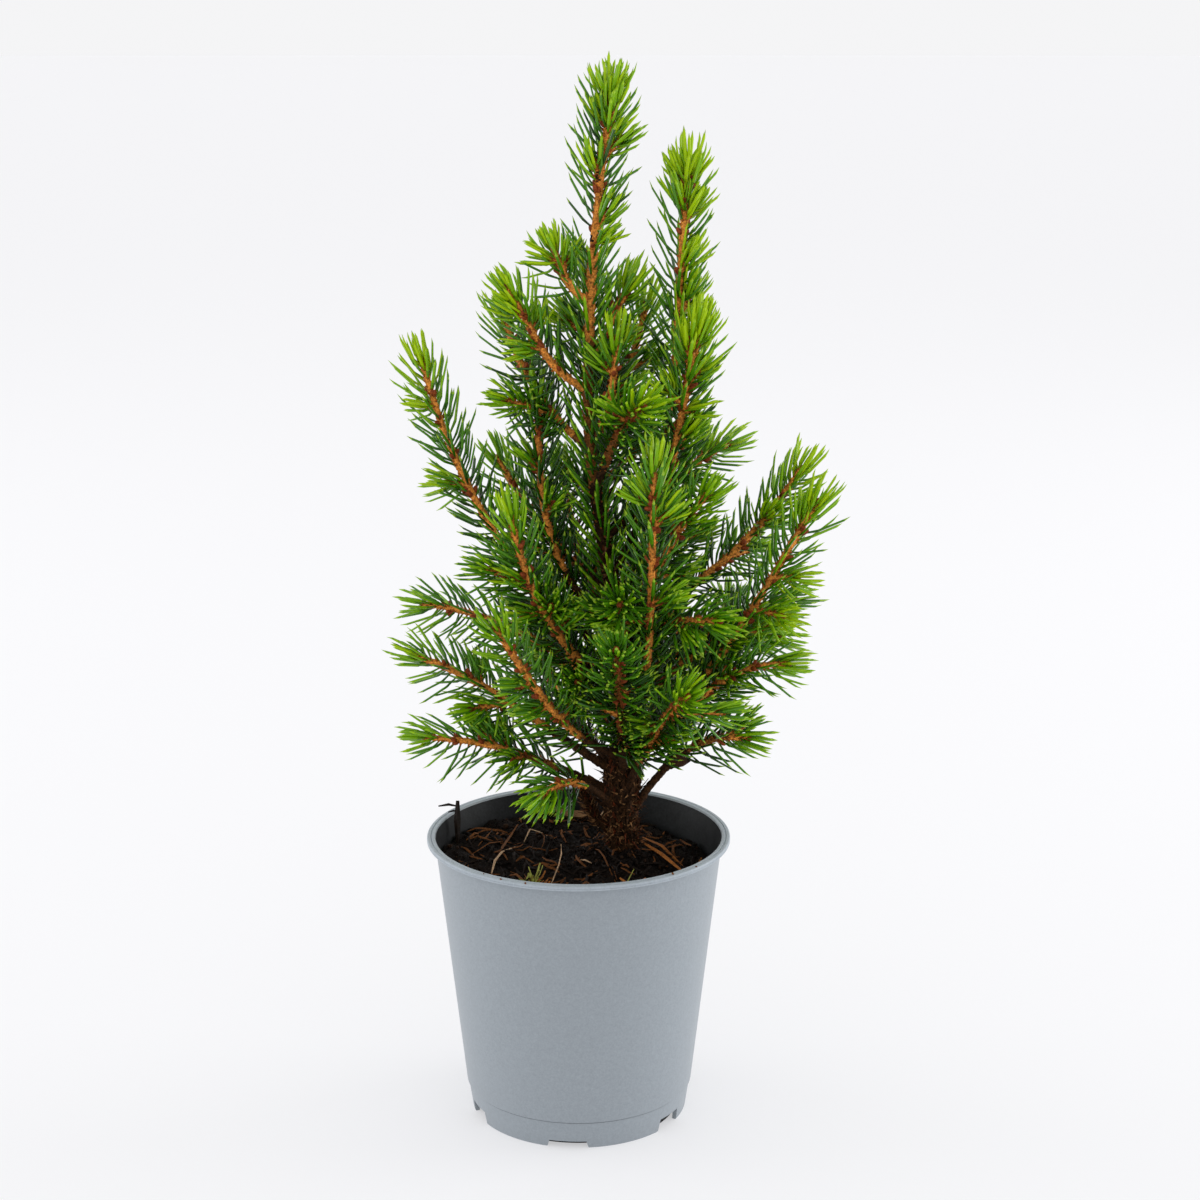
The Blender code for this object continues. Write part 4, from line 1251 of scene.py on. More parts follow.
def trunk_flake(chance):
    """A loose scale, peg or shred on the lower trunk."""
    height = TRUNK_FOOT - FLAKES_BELOW + FLAKES_SPAN * chance.random() ** FLAKES_CROWDING
    around = direction(chance.uniform(0, 360), 0)
    root = trunk_point(height) + around * bark_radius(height) * FLAKE_ROOTING
    root.z = height
    up = Vector((0, 0, chance.choice((-1, 1, 1, 1))))
    sideways = around.cross(up) * chance.uniform(-FLAKE_SKEW, FLAKE_SKEW)
    low = height < LOW_FLAKES_TOP
    kind = BARK_PEG if chance.random() < (PEGS_LOW if low else PEGS_HIGH) else BARK_SCALE
    along = flake_lean(kind, around, up, chance) + sideways
    size = chance.uniform(*kind.lengths)
    if kind is BARK_SCALE and not low:
        size *= HIGH_SCALE_SIZE
    breadth = chance.uniform(*kind.breadths)
    slot = 0 if height < DARK_FLAKES_TOP else chance.choice(FLAKE_SLOTS)
    if slot == SHRED_SLOT:
        along = flake_lean(BARK_SHRED, around, up, chance) + sideways * SHRED_SKEW
        size = chance.uniform(*BARK_SHRED.lengths)
        breadth = chance.uniform(*BARK_SHRED.breadths)
    return flake_shape(root, along.normalized(), around, size, breadth, slot)


def stub_flakes(chance):
    """Shreds that stand off the dead stub, but for its underside."""
    shapes = []
    stub = bough_path(Stem(OLD_STUB, len(SHOOTS)))
    for k in range(STUB_FLAKES):
        index = chance.randint(1, len(stub) - 2)
        point, radius = stub[index]
        outward = (stub[index + 1][0] - point).normalized()
        around = Quaternion(outward, chance.uniform(0, FULL_TURN)) @ outward.orthogonal().normalized()
        if around.z < STUB_UNDERSIDE:
            continue
        along = flake_lean(STUB_SHRED, around, outward, chance)
        root = point + around * radius * STUB_FULLNESS * STUB_FLAKE_ROOTING
        size = chance.uniform(*STUB_SHRED.lengths)
        breadth = chance.uniform(*STUB_SHRED.breadths)
        slot = chance.choice(STUB_FLAKE_SLOTS)
        shapes.append(flake_shape(root, along.normalized(), around, size, breadth, slot))
    return shapes


def bough_path(stem):
    """A bough's tapering line, from inside the trunk's bark to where its foliage starts."""
    start = stem.along(0) - (stem.along(BOUGH_START) - stem.along(0)).normalized() * ROOT_DEPTH
    steps = max(6, round(stem.whole * stem.bare / BOUGH_POINT_STEP))
    foot = stem.foot_radius() * BOUGH_SLIMNESS
    path = [(start, foot * BOUGH_ROOT_SWELL)]
    for k in range(steps + 1):
        path.append((stem.along(stem.bare * k / steps), foot + (STEM_RADIUS - foot) * k / steps))
    return path


def dead_twig_path(foot, heading, slope, length, thickness):
    """The line of a short bare twig that leaves the trunk and bends up a little."""
    start = trunk_point(foot)
    out = direction(heading, slope)
    reach = trunk_radius(foot) + length / 1000
    path = []
    for k in range(DEAD_TWIG_STEPS + 1):
        t = k / DEAD_TWIG_STEPS
        spot = start + out * reach * t + Vector((0, 0, DEAD_TWIG_BOW)) * t * t
        path.append((spot, thickness / 2000 * (1 - DEAD_TWIG_TAPER * t)))
    return path


def stem_path(stem):
    """The line of a stem that carries needles, from inside its bough or the trunk's bark to its tip."""
    depth = BOUGH_JOINT_DEPTH if stem.bare else ROOT_DEPTH
    start = stem.at(0) - stem.tangent(STEM_START) * depth
    taper = line_path(stem, lambda t: STEM_RADIUS + (STEM_TIP_RADIUS - STEM_RADIUS) * t, STEM_POINT_STEP)
    return [(start, STEM_RADIUS * STEM_ROOT_SWELL)] + taper


def twig_path(twig):
    return line_path(twig, lambda t: TWIG_RADIUS - TWIG_TAPER * t, STEM_POINT_STEP)


def trunk_bark(wood):
    colours = shades(wood.old_bark, 0.10, 0.9)
    return mottled("Dark trunk bark", colours, roughness=0.9, sizes=(0.0022, 0.0006), relief=0.0005)


def old_bark(wood):
    colours = shades(wood.old_bark, 0.12, 1.5)
    return mottled("Old scaly bark", colours, roughness=0.85, sizes=(0.0022, 0.0006), relief=0.0004)


def bough_bark(wood):
    colours = shades(blend(wood.old_bark, wood.young_bark, 0.35), 0.2, 1.4)
    return mottled("Brown bough bark", colours, roughness=0.75, sizes=(0.003, 0.0007), relief=0.0003)


def stem_bark(wood):
    colours = shades(wood.young_bark, 0.24, 1.85)
    return mottled("Young orange bark", colours, roughness=0.7, sizes=(0.0018, 0.0006), relief=0.0002)


def tan_bark(wood):
    colours = scaled(wood.old_bark, 1.6), blend(wood.old_bark, TAN, 0.33)
    return mottled("Tan bark shreds", colours, roughness=0.7, sizes=(0.0016, 0.0006), relief=0.0002)


def red_bark(wood):
    colours = shades(wood.bud, 0.10, 0.7)
    return mottled("Reddish bark", colours, roughness=0.8, sizes=(0.003, 0.0007), relief=0.0002)


def add_trunk(wood, barks):
    """The trunk with its bark, darkest low down."""
    mesh = mesh_from_bmesh("trunk_bark", trunk_bmesh(wood.trunk_relief))
    smooth(mesh, degrees=50)
    paint_by_age(mesh, TRUNK_AGES)
    link_piece("trunk_bark", mesh, barks, "bark", "trunk")


def add_flakes(barks):
    """The loose bark on the trunk and the stub."""
    chance = random.Random(FLAKE_SEED)
    shapes = [trunk_flake(chance) for k in range(FLAKES)] + stub_flakes(chance)
    link_piece("bark_flakes", joined_mesh("bark_flakes", shapes), barks, "bark")


def raise_burl(bm, centre):
    """Swells the wood round a bough's foot."""
    for vert in bm.verts:
        near = hump((vert.co - centre).length, BURL_WIDTH)
        vert.co += (vert.co - centre).normalized() * near * BURL_HEIGHT
    bm.normal_update()


def add_boughs(stems, barks):
    """The bare boughs, the stub, the dead twigs and the stems in deep shade, in old bark."""
    boughs = [stem for stem in stems if stem.bare]
    stub = Stem(OLD_STUB, len(SHOOTS))
    paths = [bough_path(stem) for stem in boughs]
    paths.append([(point, radius * STUB_FULLNESS) for point, radius in bough_path(stub)])
    # Stems in deep shade take the old bark: painted shade
    paths += [stem_path(stem) for stem in stems if stem.shoot.name in SHADED_SHOOTS]
    paths += [dead_twig_path(*row) for row in DEAD_TWIGS]
    bm = tubes(paths, BOUGH_SIDES)
    (burl,) = [stem.at(0) for stem in stems if stem.shoot.name == BURL_SHOOT]
    raise_burl(bm, burl - Vector((0, 0, BURL_DROP)))
    raise_relief(bm, BOUGH_RELIEF, *BOUGH_SCALE)
    mesh = mesh_from_bmesh("boughs_bark", bm)
    smooth(mesh, degrees=50)
    paint_by_reach(mesh, OLD_AND_SHADED_BOUGH_REACH)
    nodes = ["bough_" + stem.shoot.name for stem in boughs + [stub]]
    link_piece("boughs_bark", mesh, barks, "bark", *nodes)


def add_stems(wood, lines, barks):
    """The stems that carry needles and their side twigs."""
    paths = []
    for stem, twigs in lines:
        if stem.shoot.name not in SHADED_SHOOTS:
            paths.append(stem_path(stem))
        paths += [twig_path(twig) for twig in twigs]
    bm = tubes(paths, STEM_SIDES)
    raise_relief(bm, wood.stem_relief, *STEM_PEG)
    mesh = mesh_from_bmesh("stems_bark", bm)
    smooth(mesh, degrees=60)
    paint_by_reach(mesh, OLD_AND_SHADED_STEM_REACH)
    link_piece("stems_bark", mesh, barks, "bark")


class POTTEDCONIFER_OT_wood(bpy.types.Operator):
    """Adds the trunk, the boughs and the stems with their bark"""

    bl_idname = "potted_conifer.wood"
    bl_label = "Wood"

    def execute(self, context):
        wood = settings("wood")
        old, middle, young = old_bark(wood), bough_bark(wood), stem_bark(wood)
        lines = plant_lines()
        add_trunk(wood, [trunk_bark(wood), middle, young])
        add_flakes([old, tan_bark(wood), red_bark(wood)])
        add_boughs([stem for stem, twigs in lines], [old, middle])
        add_stems(wood, lines, [old, middle, young])
        return {"FINISHED"}


# Needles


class Tuft:
    """Needles by tone, each a root, a direction, the way it bends and its sizes, and pegs left bare."""

    def __init__(self):
        self.needles = {tone: [] for tone in TONES}
        self.pegs = []

    def add(self, level, root, out, bend, length, width):
        tone = TONES[min(max(level, 0), len(TONES) - 1)]
        self.needles[tone].append((*root, *out, *bend, length, width))

    def rows(self, tone):
        return np.array(self.needles[tone])


def clear_of_wood_and_pot(tip):
    """True if a needle's point is outside the trunk, the pot's wall and the soil."""
    if tip.z < TRUNK_LINE[-1][0]:
        wood = trunk_radius(max(tip.z, TRUNK_FOOT)) + TRUNK_CLEARANCE
        if (tip.xy - trunk_point(tip.z).xy).length < wood:
            return False
    if tip.z < SOIL_LEVEL + SOIL_CLEARANCE:
        return False
    return tip.z >= POT_HEIGHT + LIP_CLEARANCE or tip.xy.length <= POT_TOP_RADIUS - WALL_CLEARANCE


def needle_angle(needle, share, older, lying, underside, chance):
    """A needle's angle to its stem: narrow in the crown, wide behind it and widest under a lying stem."""
    near, far = OPENING_SHARES
    opening = near * share**OPENING_EASE + far * older
    angle = needle.tip_angle + (needle.back_angle - needle.tip_angle) * opening
    angle += lying * (UNDERSIDE_DROOP * underside / 2 - LYING_CLOSE)
    wide, narrowing = SCATTER_SHARES
    scatter = chance.uniform(*ANGLE_SCATTER) * (wide - narrowing * share)
    return math.radians(max(LEAST_ANGLE, angle + scatter))


def needle_bend(along, out, share, chance):
    """The way a needle bends towards its stem's tip, most in the crown, and a little to a side."""
    least, more = NEEDLE_BENDS
    bend = along - out * along.dot(out)
    bend = bend * (least + more * chance.random() + CROWN_BEND * (1 - share))
    return bend + along.cross(out) * chance.uniform(-NEEDLE_TWIST, NEEDLE_TWIST)


def needle_sizes(needle, growth, share, chance):
    """A needle's length and width, shorter and fuller in the crown."""
    length = needle.length * growth.reach
    length *= growth.crown + (1 - growth.crown) * share**CROWN_LENGTH_EASE
    least, more = VIGOUR_LENGTHS
    length *= (least + more * growth.vigour) * chance.uniform(*NEEDLE_LENGTHS)
    full, less = CROWN_WIDTHS
    return length, needle.width * (full - less * share) * chance.uniform(*NEEDLE_WIDTHS)


def left_out(along, across, height, share, chance):
    """True for some needles that point at the viewer from a stem that crosses the view."""
    crossing = abs(along.y) < CROSSING_VIEW and across.y < FACING_FRONT
    thinning = LEADER_THINNING if height > LEADER_HEIGHT else FRONT_THINNING
    return crossing and share > BEHIND_CROWN and chance.random() < thinning


def grow_needles(tuft, line, growth, needle, chance):
    """Needles in a spiral from a line's tip back, crowded, forward and shorter at the tip."""
    roll = chance.uniform(0, 360)
    back = 0.0
    while back < line.length * (1 - growth.first):
        t = 1 - back / line.length
        spot = line.at(t)
        along = line.tangent(t)
        share = min(1.0, back / needle.crown_length)
        older = min(1.0, back / (OLD_STRETCH * needle.crown_length))
        lying = share * (1 - abs(along.z))
        roll += SPIRAL + chance.uniform(-SPIRAL_SCATTER, SPIRAL_SCATTER)
        across = Quaternion(along, math.radians(roll)) @ along.orthogonal().normalized()
        angle = needle_angle(needle, share, older, lying, 1 - across.z, chance)
        out = (along * math.cos(angle) + across * math.sin(angle)).normalized()
        if left_out(along, across, spot.z, share, chance):
            tuft.pegs.append((spot + across * PEG_OUT, out))
            back += needle.spacing
            continue
        out = (out + Vector((0, 0, NEEDLE_LIFT * share - NEEDLE_LIFT * lying))).normalized()
        bend = needle_bend(along, out, share, chance)
        length, width = needle_sizes(needle, growth, share, chance)
        root = spot + across * NEEDLE_ROOT
        level = tone_level(spot, back, growth.vigour, chance)
        if clear_of_wood_and_pot(root + (out + bend) * length):
            tuft.add(level, root, out, bend, length, width)
        apart = needle.crown_spacing + (needle.spacing * growth.spacing - needle.crown_spacing) * share
        back += apart * chance.uniform(*NEEDLE_APART)


def grow_trunk_needles(tuft, needle, chance):
    """Upward needles on the trunk's young stretch, rooted in its bark."""
    line = TrunkTop()
    roll = 0.0
    height = line.low
    while height < line.high:
        t = (height - line.low) / line.length
        roll += SPIRAL + chance.uniform(-TRUNK_SPIRAL_SCATTER, TRUNK_SPIRAL_SCATTER)
        across = direction(roll, 0)
        angle = math.radians(chance.uniform(*TRUNK_NEEDLE_ANGLES))
        along = line.tangent(t)
        out = (along * math.cos(angle) + across * math.sin(angle)).normalized()
        bend = (along - out * along.dot(out)) * chance.uniform(*TRUNK_NEEDLE_BENDS)
        root = line.at(t) + across * trunk_radius(height) * TRUNK_NEEDLE_ROOTING
        length = needle.length * chance.uniform(*TRUNK_NEEDLE_LENGTHS)
        width = needle.width * chance.uniform(*NEEDLE_WIDTHS)
        level = 1 if chance.random() < TRUNK_NEEDLE_GREENS else 2
        tuft.add(level, root, out, bend, length, width)
        close = CLOSE_TRUNK_SPACING if height < CLOSE_BELOW else 1.0
        height += needle.spacing * chance.uniform(*TRUNK_NEEDLES_APART) * close


def tone_level(spot, back, vigour, chance):
    """An index into TONES: freshest at a vigorous shoot's tip, dark near the trunk, with painted light up
    high.
    """
    level = TONE_BASE + TIP_TONE * vigour * math.exp(-((back / TIP_TONE_REACH) ** TIP_TONE_FADE))
    level += CROWN_TONE * vigour * math.exp(-back / CROWN_TONE_REACH)
    inner = (spot.xy - trunk_point(spot.z).xy).length
    openness = 1.0 if spot.z < OPEN_CROWN_HEIGHT else OPEN_CROWN_SHADE
    level -= INNER_SHADE * hump(inner, INNER_SHADE_REACH) * openness
    level += OUTER_TONE * ramp(inner - OUTER_TONE_FROM, OUTER_TONE_SPAN)
    # Painted light: needles high in the crown are lighter
    level += HIGH_PAINTED_LIGHT * ramp(spot.z - HIGH_PAINTED_LIGHT_FROM, HIGH_PAINTED_LIGHT_SPAN)
    return int(math.floor(level + chance.uniform(*TONE_SCATTER)))


def stem_growth(stem):
    """How a shoot's main stem carries its needles."""
    name = stem.shoot.name
    by_height = min(1.0, max(LEAST_VIGOUR, (stem.shoot.top - VIGOUR_FROM) / VIGOUR_RISE))
    first = BARE_FEET.get(name, BARE_FOOT)
    if stem.bare and name not in BARE_FEET:
        covered = HIGH_BOUGH_COVER if stem.shoot.foot > BOUGH_NEEDLES_FROM else LOW_BOUGH_COVER
        first = -covered * stem.bare / (1 - stem.bare)
    spacing = CLOSE_SPACING if name in CLOSE_SHOOTS else 1.0
    crown = CROWN_LENGTHS.get(name, CROWN_LENGTH)
    return Growth(first, VIGOURS.get(name, by_height), 1.0, spacing, crown)


def twig_growth(stem_vigour):
    """How a side twig carries its needles."""
    return Growth(TWIG_BARE_FOOT, stem_vigour * TWIG_VIGOUR, TWIG_NEEDLE_REACH, 1.0, TWIG_CROWN_LENGTH)


def needle_points(needles):
    """The points of needles ring by ring, from rows of root, direction, bend, length and width."""
    root, out, bend = needles[:, 0:3], needles[:, 3:6], needles[:, 6:9]
    length, width = needles[:, 9:10], needles[:, 10:11]
    helper = np.where(np.abs(out[:, 2:3]) > NEARLY_UPRIGHT, (1.0, 0.0, 0.0), (0.0, 0.0, 1.0))
    across = np.cross(out, helper)
    across /= np.linalg.norm(across, axis=1, keepdims=True)
    up = np.cross(out, across)
    rings = []
    for share, full in NEEDLE_RINGS:
        centre = root + (out * share + bend * share**2) * length
        for side, high in NEEDLE_CORNERS:
            rings.append(centre + (across * side + up * high * NEEDLE_FLATNESS) * width * full / 2)
    rings.append(root + (out + bend) * length)
    return np.stack(rings, axis=1).reshape(-1, 3)


def needle_faces():
    """One needle's faces, from its root's cap to its point, and the slot of each."""
    sides = len(NEEDLE_CORNERS)
    last = len(NEEDLE_RINGS) - 1
    faces, slots = [tuple(reversed(range(sides)))], [0]
    for ring in range(last + 1):
        for side in range(sides):
            a, b = ring * sides + side, ring * sides + (side + 1) % sides
            point = (sides * (last + 1),)
            faces.append((a, b) + (point if ring == last else (b + sides, a + sides)))
            slots.append(ring)
    return faces, slots


def needle_mesh(name, needles):
    """One mesh of four-sided pointed needles."""
    points = needle_points(needles)
    faces, slots = needle_faces()
    count = len(needles)
    sizes = np.array([len(face) for face in faces], np.int32)
    corners = np.array([corner for face in faces for corner in face], np.int32)
    offsets = (np.arange(count, dtype=np.int32) * (len(points) // count))[:, None]
    starts = np.concatenate([[0], np.cumsum(np.tile(sizes, count))[:-1]]).astype(np.int32)
    mesh = bpy.data.meshes.new(name)
    mesh.vertices.add(len(points))
    mesh.vertices.foreach_set("co", points.astype(np.float32).ravel())
    mesh.loops.add(len(corners) * count)
    mesh.loops.foreach_set("vertex_index", (corners[None, :] + offsets).ravel())
    mesh.polygons.add(len(sizes) * count)
    mesh.polygons.foreach_set("loop_start", starts)
    mesh.polygons.foreach_set("material_index", np.tile(np.array(slots, np.int32), count))
    mesh.update(calc_edges=True)
    mesh.validate()
    return mesh


def needle_materials(needle, wood, tone):
    """A tone's finishes, one for each ring of a needle: its peg, middle, end and point."""
    step = TONES.index(tone)
    colour = tuple(getattr(needle, tone))
    fresher = tuple(getattr(needle, TONES[min(step + 1, len(TONES) - 1)]))
    name = tone.capitalize() + " needle"
    sheen = NEEDLE_SHEEN - SHEEN_LOSS * step
    peg = blend(wood.young_bark, wood.bud, 0.65)
    return [
        plain_material(name + " peg", peg, roughness=0.60, specular=0.15),
        plain_material(name, scaled(colour, 0.70), roughness=0.22, specular=sheen),
        plain_material(name + " end", blend(colour, fresher, 0.25), roughness=0.22, specular=sheen),
        plain_material(name + " point", blend(colour, needle.fresh, 0.65), roughness=0.42, specular=sheen),
    ]


def peg_bark(wood):
    colours = shades(wood.young_bark, 0.25, 1.9)
    return mottled("Bare pegs", colours, roughness=0.5, sizes=(0.0014, 0.0005), relief=0.0001)


def add_pegs(pegs, bark, chance):
    """The bare pegs where needles were shed."""
    shapes = []
    for root, out in pegs:
        side = out.orthogonal().normalized()
        shapes.append(flake_shape(root, out, side, chance.uniform(*PEG_LENGTHS), PEG_BREADTH, 0))
    link_piece("bare_pegs", joined_mesh("bare_pegs", shapes), [bark], "bark")


class POTTEDCONIFER_OT_needles(bpy.types.Operator):
    """Adds the needles, each tone as a piece of its own, and the bare pegs"""

    bl_idname = "potted_conifer.needles"
    bl_label = "Needles"

    def execute(self, context):
        needle, wood = settings("needles"), settings("wood")
        tuft = Tuft()
        chance = random.Random(NEEDLE_SEED)
        for stem, twigs in plant_lines():
            growth = stem_growth(stem)
            grow_needles(tuft, stem, growth, needle, chance)
            for twig in twigs:
                grow_needles(tuft, twig, twig_growth(growth.vigour), needle, chance)
        grow_trunk_needles(tuft, needle, chance)
        nodes = ["foliage_" + shoot.name for shoot in SHOOTS]
        for tone in TONES:
            mesh = needle_mesh("needles_" + tone, tuft.rows(tone))
            materials = needle_materials(needle, wood, tone)
            link_piece("needles_" + tone, mesh, materials, "needles", *nodes)
        add_pegs(tuft.pegs, peg_bark(wood), chance)
        return {"FINISHED"}


# Buds


def bud_ball():
    """The form of every bud, as points and faces."""
    bm = bmesh.new()
    bmesh.ops.create_uvsphere(bm, u_segments=8, v_segments=6, radius=1.0)
    bmesh.ops.scale(bm, vec=BUD_FORM, verts=bm.verts)
    return shape_of(bm)


def bud_shape(ball, place, along, size):
    """A bud at a place, pointing along."""
    points, faces = ball
    turn = along.to_track_quat("Z", "Y")
    return [place + turn @ (point * size) for point in points], faces, [0] * len(faces)


def side_bud(ball, line, share, chance):
    """A bud on the side of a stem, pointing outwards and up along it."""
    along = line.tangent(share)
    around = Quaternion(along, chance.uniform(0, FULL_TURN)) @ along.orthogonal().normalized()
    place = line.at(share) + around * BUD_OUT + along * chance.uniform(*BUD_SHIFTS)
    return bud_shape(ball, place, (along + around).normalized(), chance.uniform(*SIDE_BUDS))


def bud_shapes(lines, chance):
    """The buds at the ends of shoots and twigs, in rings behind them and where twigs leave."""
    ball = bud_ball()
    shapes = []
    for stem, twigs in lines:
        shapes.append(bud_shape(ball, stem.at(1.0), stem.tangent(STEM_END), SHOOT_BUD))
        for back in BUD_RINGS:
            if back < stem.length * (BUD_STRETCH - BARE_FEET.get(stem.shoot.name, 0)):
                share = 1 - back / stem.length
                shapes += [side_bud(ball, stem, share, chance) for k in range(BUDS_IN_RING)]
        for twig in twigs:
            shapes.append(bud_shape(ball, twig.tip, twig.tangent(1.0), TWIG_BUD))
            if stem.shoot.name != BUDLESS_SHOOT:
                count = chance.randint(1, 2)
                shapes += [side_bud(ball, twig, TWIG_BUD_SHARE, chance) for k in range(count)]
    return shapes


def bud_scales(wood):
    colours = shades(wood.bud, 0.5, 1.6)
    return mottled("Bud scales", colours, roughness=0.5, sizes=(0.0012, 0.0004), relief=0.0001)


class POTTEDCONIFER_OT_buds(bpy.types.Operator):
    """Adds the resting buds at the shoots' ends and where twigs leave"""

    bl_idname = "potted_conifer.buds"
    bl_label = "Buds"

    def execute(self, context):
        mesh = joined_mesh("buds", bud_shapes(plant_lines(), random.Random(BUD_SEED)))
        smooth(mesh, degrees=60)
        link_piece("buds", mesh, [bud_scales(settings("wood"))], "bark")
        return {"FINISHED"}


# The pot


def wall_radius(height):
    """The pot wall's outer radius above the step."""
    share = (height - STEP_HEIGHT) / (POT_HEIGHT - LIP_HEIGHT - STEP_HEIGHT)
    return POT_STEP_RADIUS + (POT_TOP_RADIUS - POT_STEP_RADIUS) * share


def arc(centre, radius, start, end, steps):
    """Profile points on an arc, with its angles in degrees."""
    angles = [math.radians(start + (end - start) * k / steps) for k in range(steps + 1)]
    return [(centre[0] + radius * math.cos(a), centre[1] + radius * math.sin(a)) for a in angles]


def corner_points(radius, height, steps):
    """Profile points at steps outwards and upwards from a corner."""
    return [(radius + out, height + up) for out, up in steps]


def inside_profile():
    """The pot's section from the middle of its floor up to its flared lip."""
    top = wall_radius(POT_HEIGHT) - POT_WALL
    edge = (top + LIP_FLARE + LIP_INNER_EDGE, POT_HEIGHT - LIP_INNER_EDGE)
    return [
        (0.0, FLOOR_TOP),
        *corner_points(POT_STEP_RADIUS - POT_WALL, FLOOR_TOP, FLOOR_CORNER),
        *corner_points(top, POT_HEIGHT, FLARE_CORNER),
        *arc(edge, LIP_INNER_EDGE, 160, 90, 4),
    ]


def lip_profile():
    """The section over the lip, with a groove on top and one on its side, to the wall below it."""
    foot = POT_HEIGHT - LIP_HEIGHT
    top_edge = (POT_RIM_RADIUS - LIP_OUTER_EDGE, POT_HEIGHT - LIP_OUTER_EDGE)
    low_edge = (POT_RIM_RADIUS - LIP_LOWER_EDGE, foot + LIP_LOWER_EDGE)
    fillet = (POT_TOP_RADIUS + LIP_FILLET, foot - LIP_FILLET)
    return [
        *corner_points(TOP_GROOVE_RADIUS, POT_HEIGHT, TOP_GROOVE),
        *arc(top_edge, LIP_OUTER_EDGE, 90, 0, 5),
        *corner_points(POT_RIM_RADIUS, POT_HEIGHT - SIDE_GROOVE_DROP, SIDE_GROOVE),
        *arc(low_edge, LIP_LOWER_EDGE, 0, -90, 3),
        (POT_TOP_RADIUS + LIP_FILLET, foot),
        *arc(fillet, LIP_FILLET, 90, 186, 3),
    ]


def outside_profile():
    """The section down the wall, over the step and down to the foot."""
    return [
        *[(wall_radius(height), height) for height in WALL_RINGS],
        *corner_points(POT_STEP_RADIUS, STEP_HEIGHT, STEP_CORNER),
        *corner_points(POT_FOOT_RADIUS, 0.0, FOOT_OUTER_CORNER),
    ]


def underside_profile():
    """The section up inside the foot, over the rib under the floor and to the middle of the pad."""
    return [
        *corner_points(POT_FOOT_RADIUS - POT_WALL, 0.0, FOOT_INNER_CORNER),
        (UNDER_RIB[1], FLOOR_UNDERSIDE),
        (UNDER_RIB[1], UNDER_RIB_FOOT),
        (UNDER_RIB[0], UNDER_RIB_FOOT),
        (UNDER_RIB[0], FLOOR_UNDERSIDE),
        (CENTRE_PAD_RADIUS + CENTRE_PAD_SLOPE, FLOOR_UNDERSIDE),
        (CENTRE_PAD_RADIUS, 0.0),
        (0.0, 0.0),
    ]


def spun(profile, steps):
    """A closed solid of revolution from (radius, height) points that start and end on the axis."""
    bm = bmesh.new()
    verts = [bm.verts.new((radius, 0.0, height)) for radius, height in profile]
    edges = [bm.edges.new(pair) for pair in zip(verts, verts[1:])]
    bmesh.ops.spin(
        bm,
        geom=verts + edges,
        cent=(0, 0, 0),
        axis=(0, 0, 1),
        angle=2 * math.pi,
        steps=steps,
        use_merge=True,
    )
    bmesh.ops.remove_doubles(bm, verts=bm.verts, dist=SPUN_WELD)
    bmesh.ops.recalc_face_normals(bm, faces=bm.faces)
    return bm


def cutter(name, bm):
    """An object that cut_away takes away and removes."""
    made = bpy.data.objects.new(name, mesh_from_bmesh(name, bm))
    bpy.context.scene.collection.objects.link(made)
    return made


def foot_opening(heading, size):
    """A cutter for an opening in the foot ring, a little narrower at its top."""
    width, height = size
    near, far = OPENING_REACH
    bm = bmesh.new()
    bmesh.ops.create_cube(bm, size=1.0)
    bmesh.ops.scale(bm, vec=(far - near, width, 2 * height), verts=bm.verts)
    top = [vert for vert in bm.verts if vert.co.z > 0]
    bmesh.ops.scale(bm, vec=(1.0, OPENING_TOP_SHARE, 1.0), verts=top)
    bmesh.ops.translate(bm, vec=((near + far) / 2, 0, 0), verts=bm.verts)
    bmesh.ops.rotate(bm, matrix=Matrix.Rotation(math.radians(heading), 3, "Z"), verts=bm.verts)
    return cutter("foot_opening", bm)


def drain_hole(heading):
    """A cutter for a round hole in the floor."""
    radius = DRAIN_HOLE_RADIUS
    bm = bmesh.new()
    bmesh.ops.create_cone(
        bm,
        cap_ends=True,
        segments=DRAIN_HOLE_SIDES,
        radius1=radius,
        radius2=radius,
        depth=DRAIN_CUTTER_HEIGHT,
    )
    place = direction(heading, 0) * DRAIN_CIRCLE_RADIUS
    place.z = FLOOR_UNDERSIDE + FLOOR_THICKNESS / 2
    bmesh.ops.translate(bm, vec=place, verts=bm.verts)
    return cutter("drain_hole", bm)


def pot_openings():
    """The cutters for the foot's openings, three on each side, and for the drain holes."""
    openings = []
    for side in (0, 180):
        openings.append(foot_opening(FOOT_TURN + side, SHALLOW_OPENING))
        for spread in (-DEEP_OPENING_SPREAD, DEEP_OPENING_SPREAD):
            openings.append(foot_opening(FOOT_TURN + side + spread, DEEP_OPENING))
    for hole in range(DRAIN_HOLES):
        openings.append(drain_hole(DRAIN_HOLE_TURN + hole * 360 / DRAIN_HOLES))
    return openings


def cut_away(piece, cutters):
    """Cuts the cutters out of the piece, applies the result and removes them."""
    for each in cutters:
        difference = piece.modifiers.new("Cut", "BOOLEAN")
        difference.operation = "DIFFERENCE"
        difference.solver = "EXACT"
        difference.object = each
    depsgraph = bpy.context.evaluated_depsgraph_get()
    depsgraph.update()
    mesh = bpy.data.meshes.new_from_object(piece.evaluated_get(depsgraph))
    piece.modifiers.clear()
    piece.data = mesh
    for each in cutters:
        bpy.data.objects.remove(each)


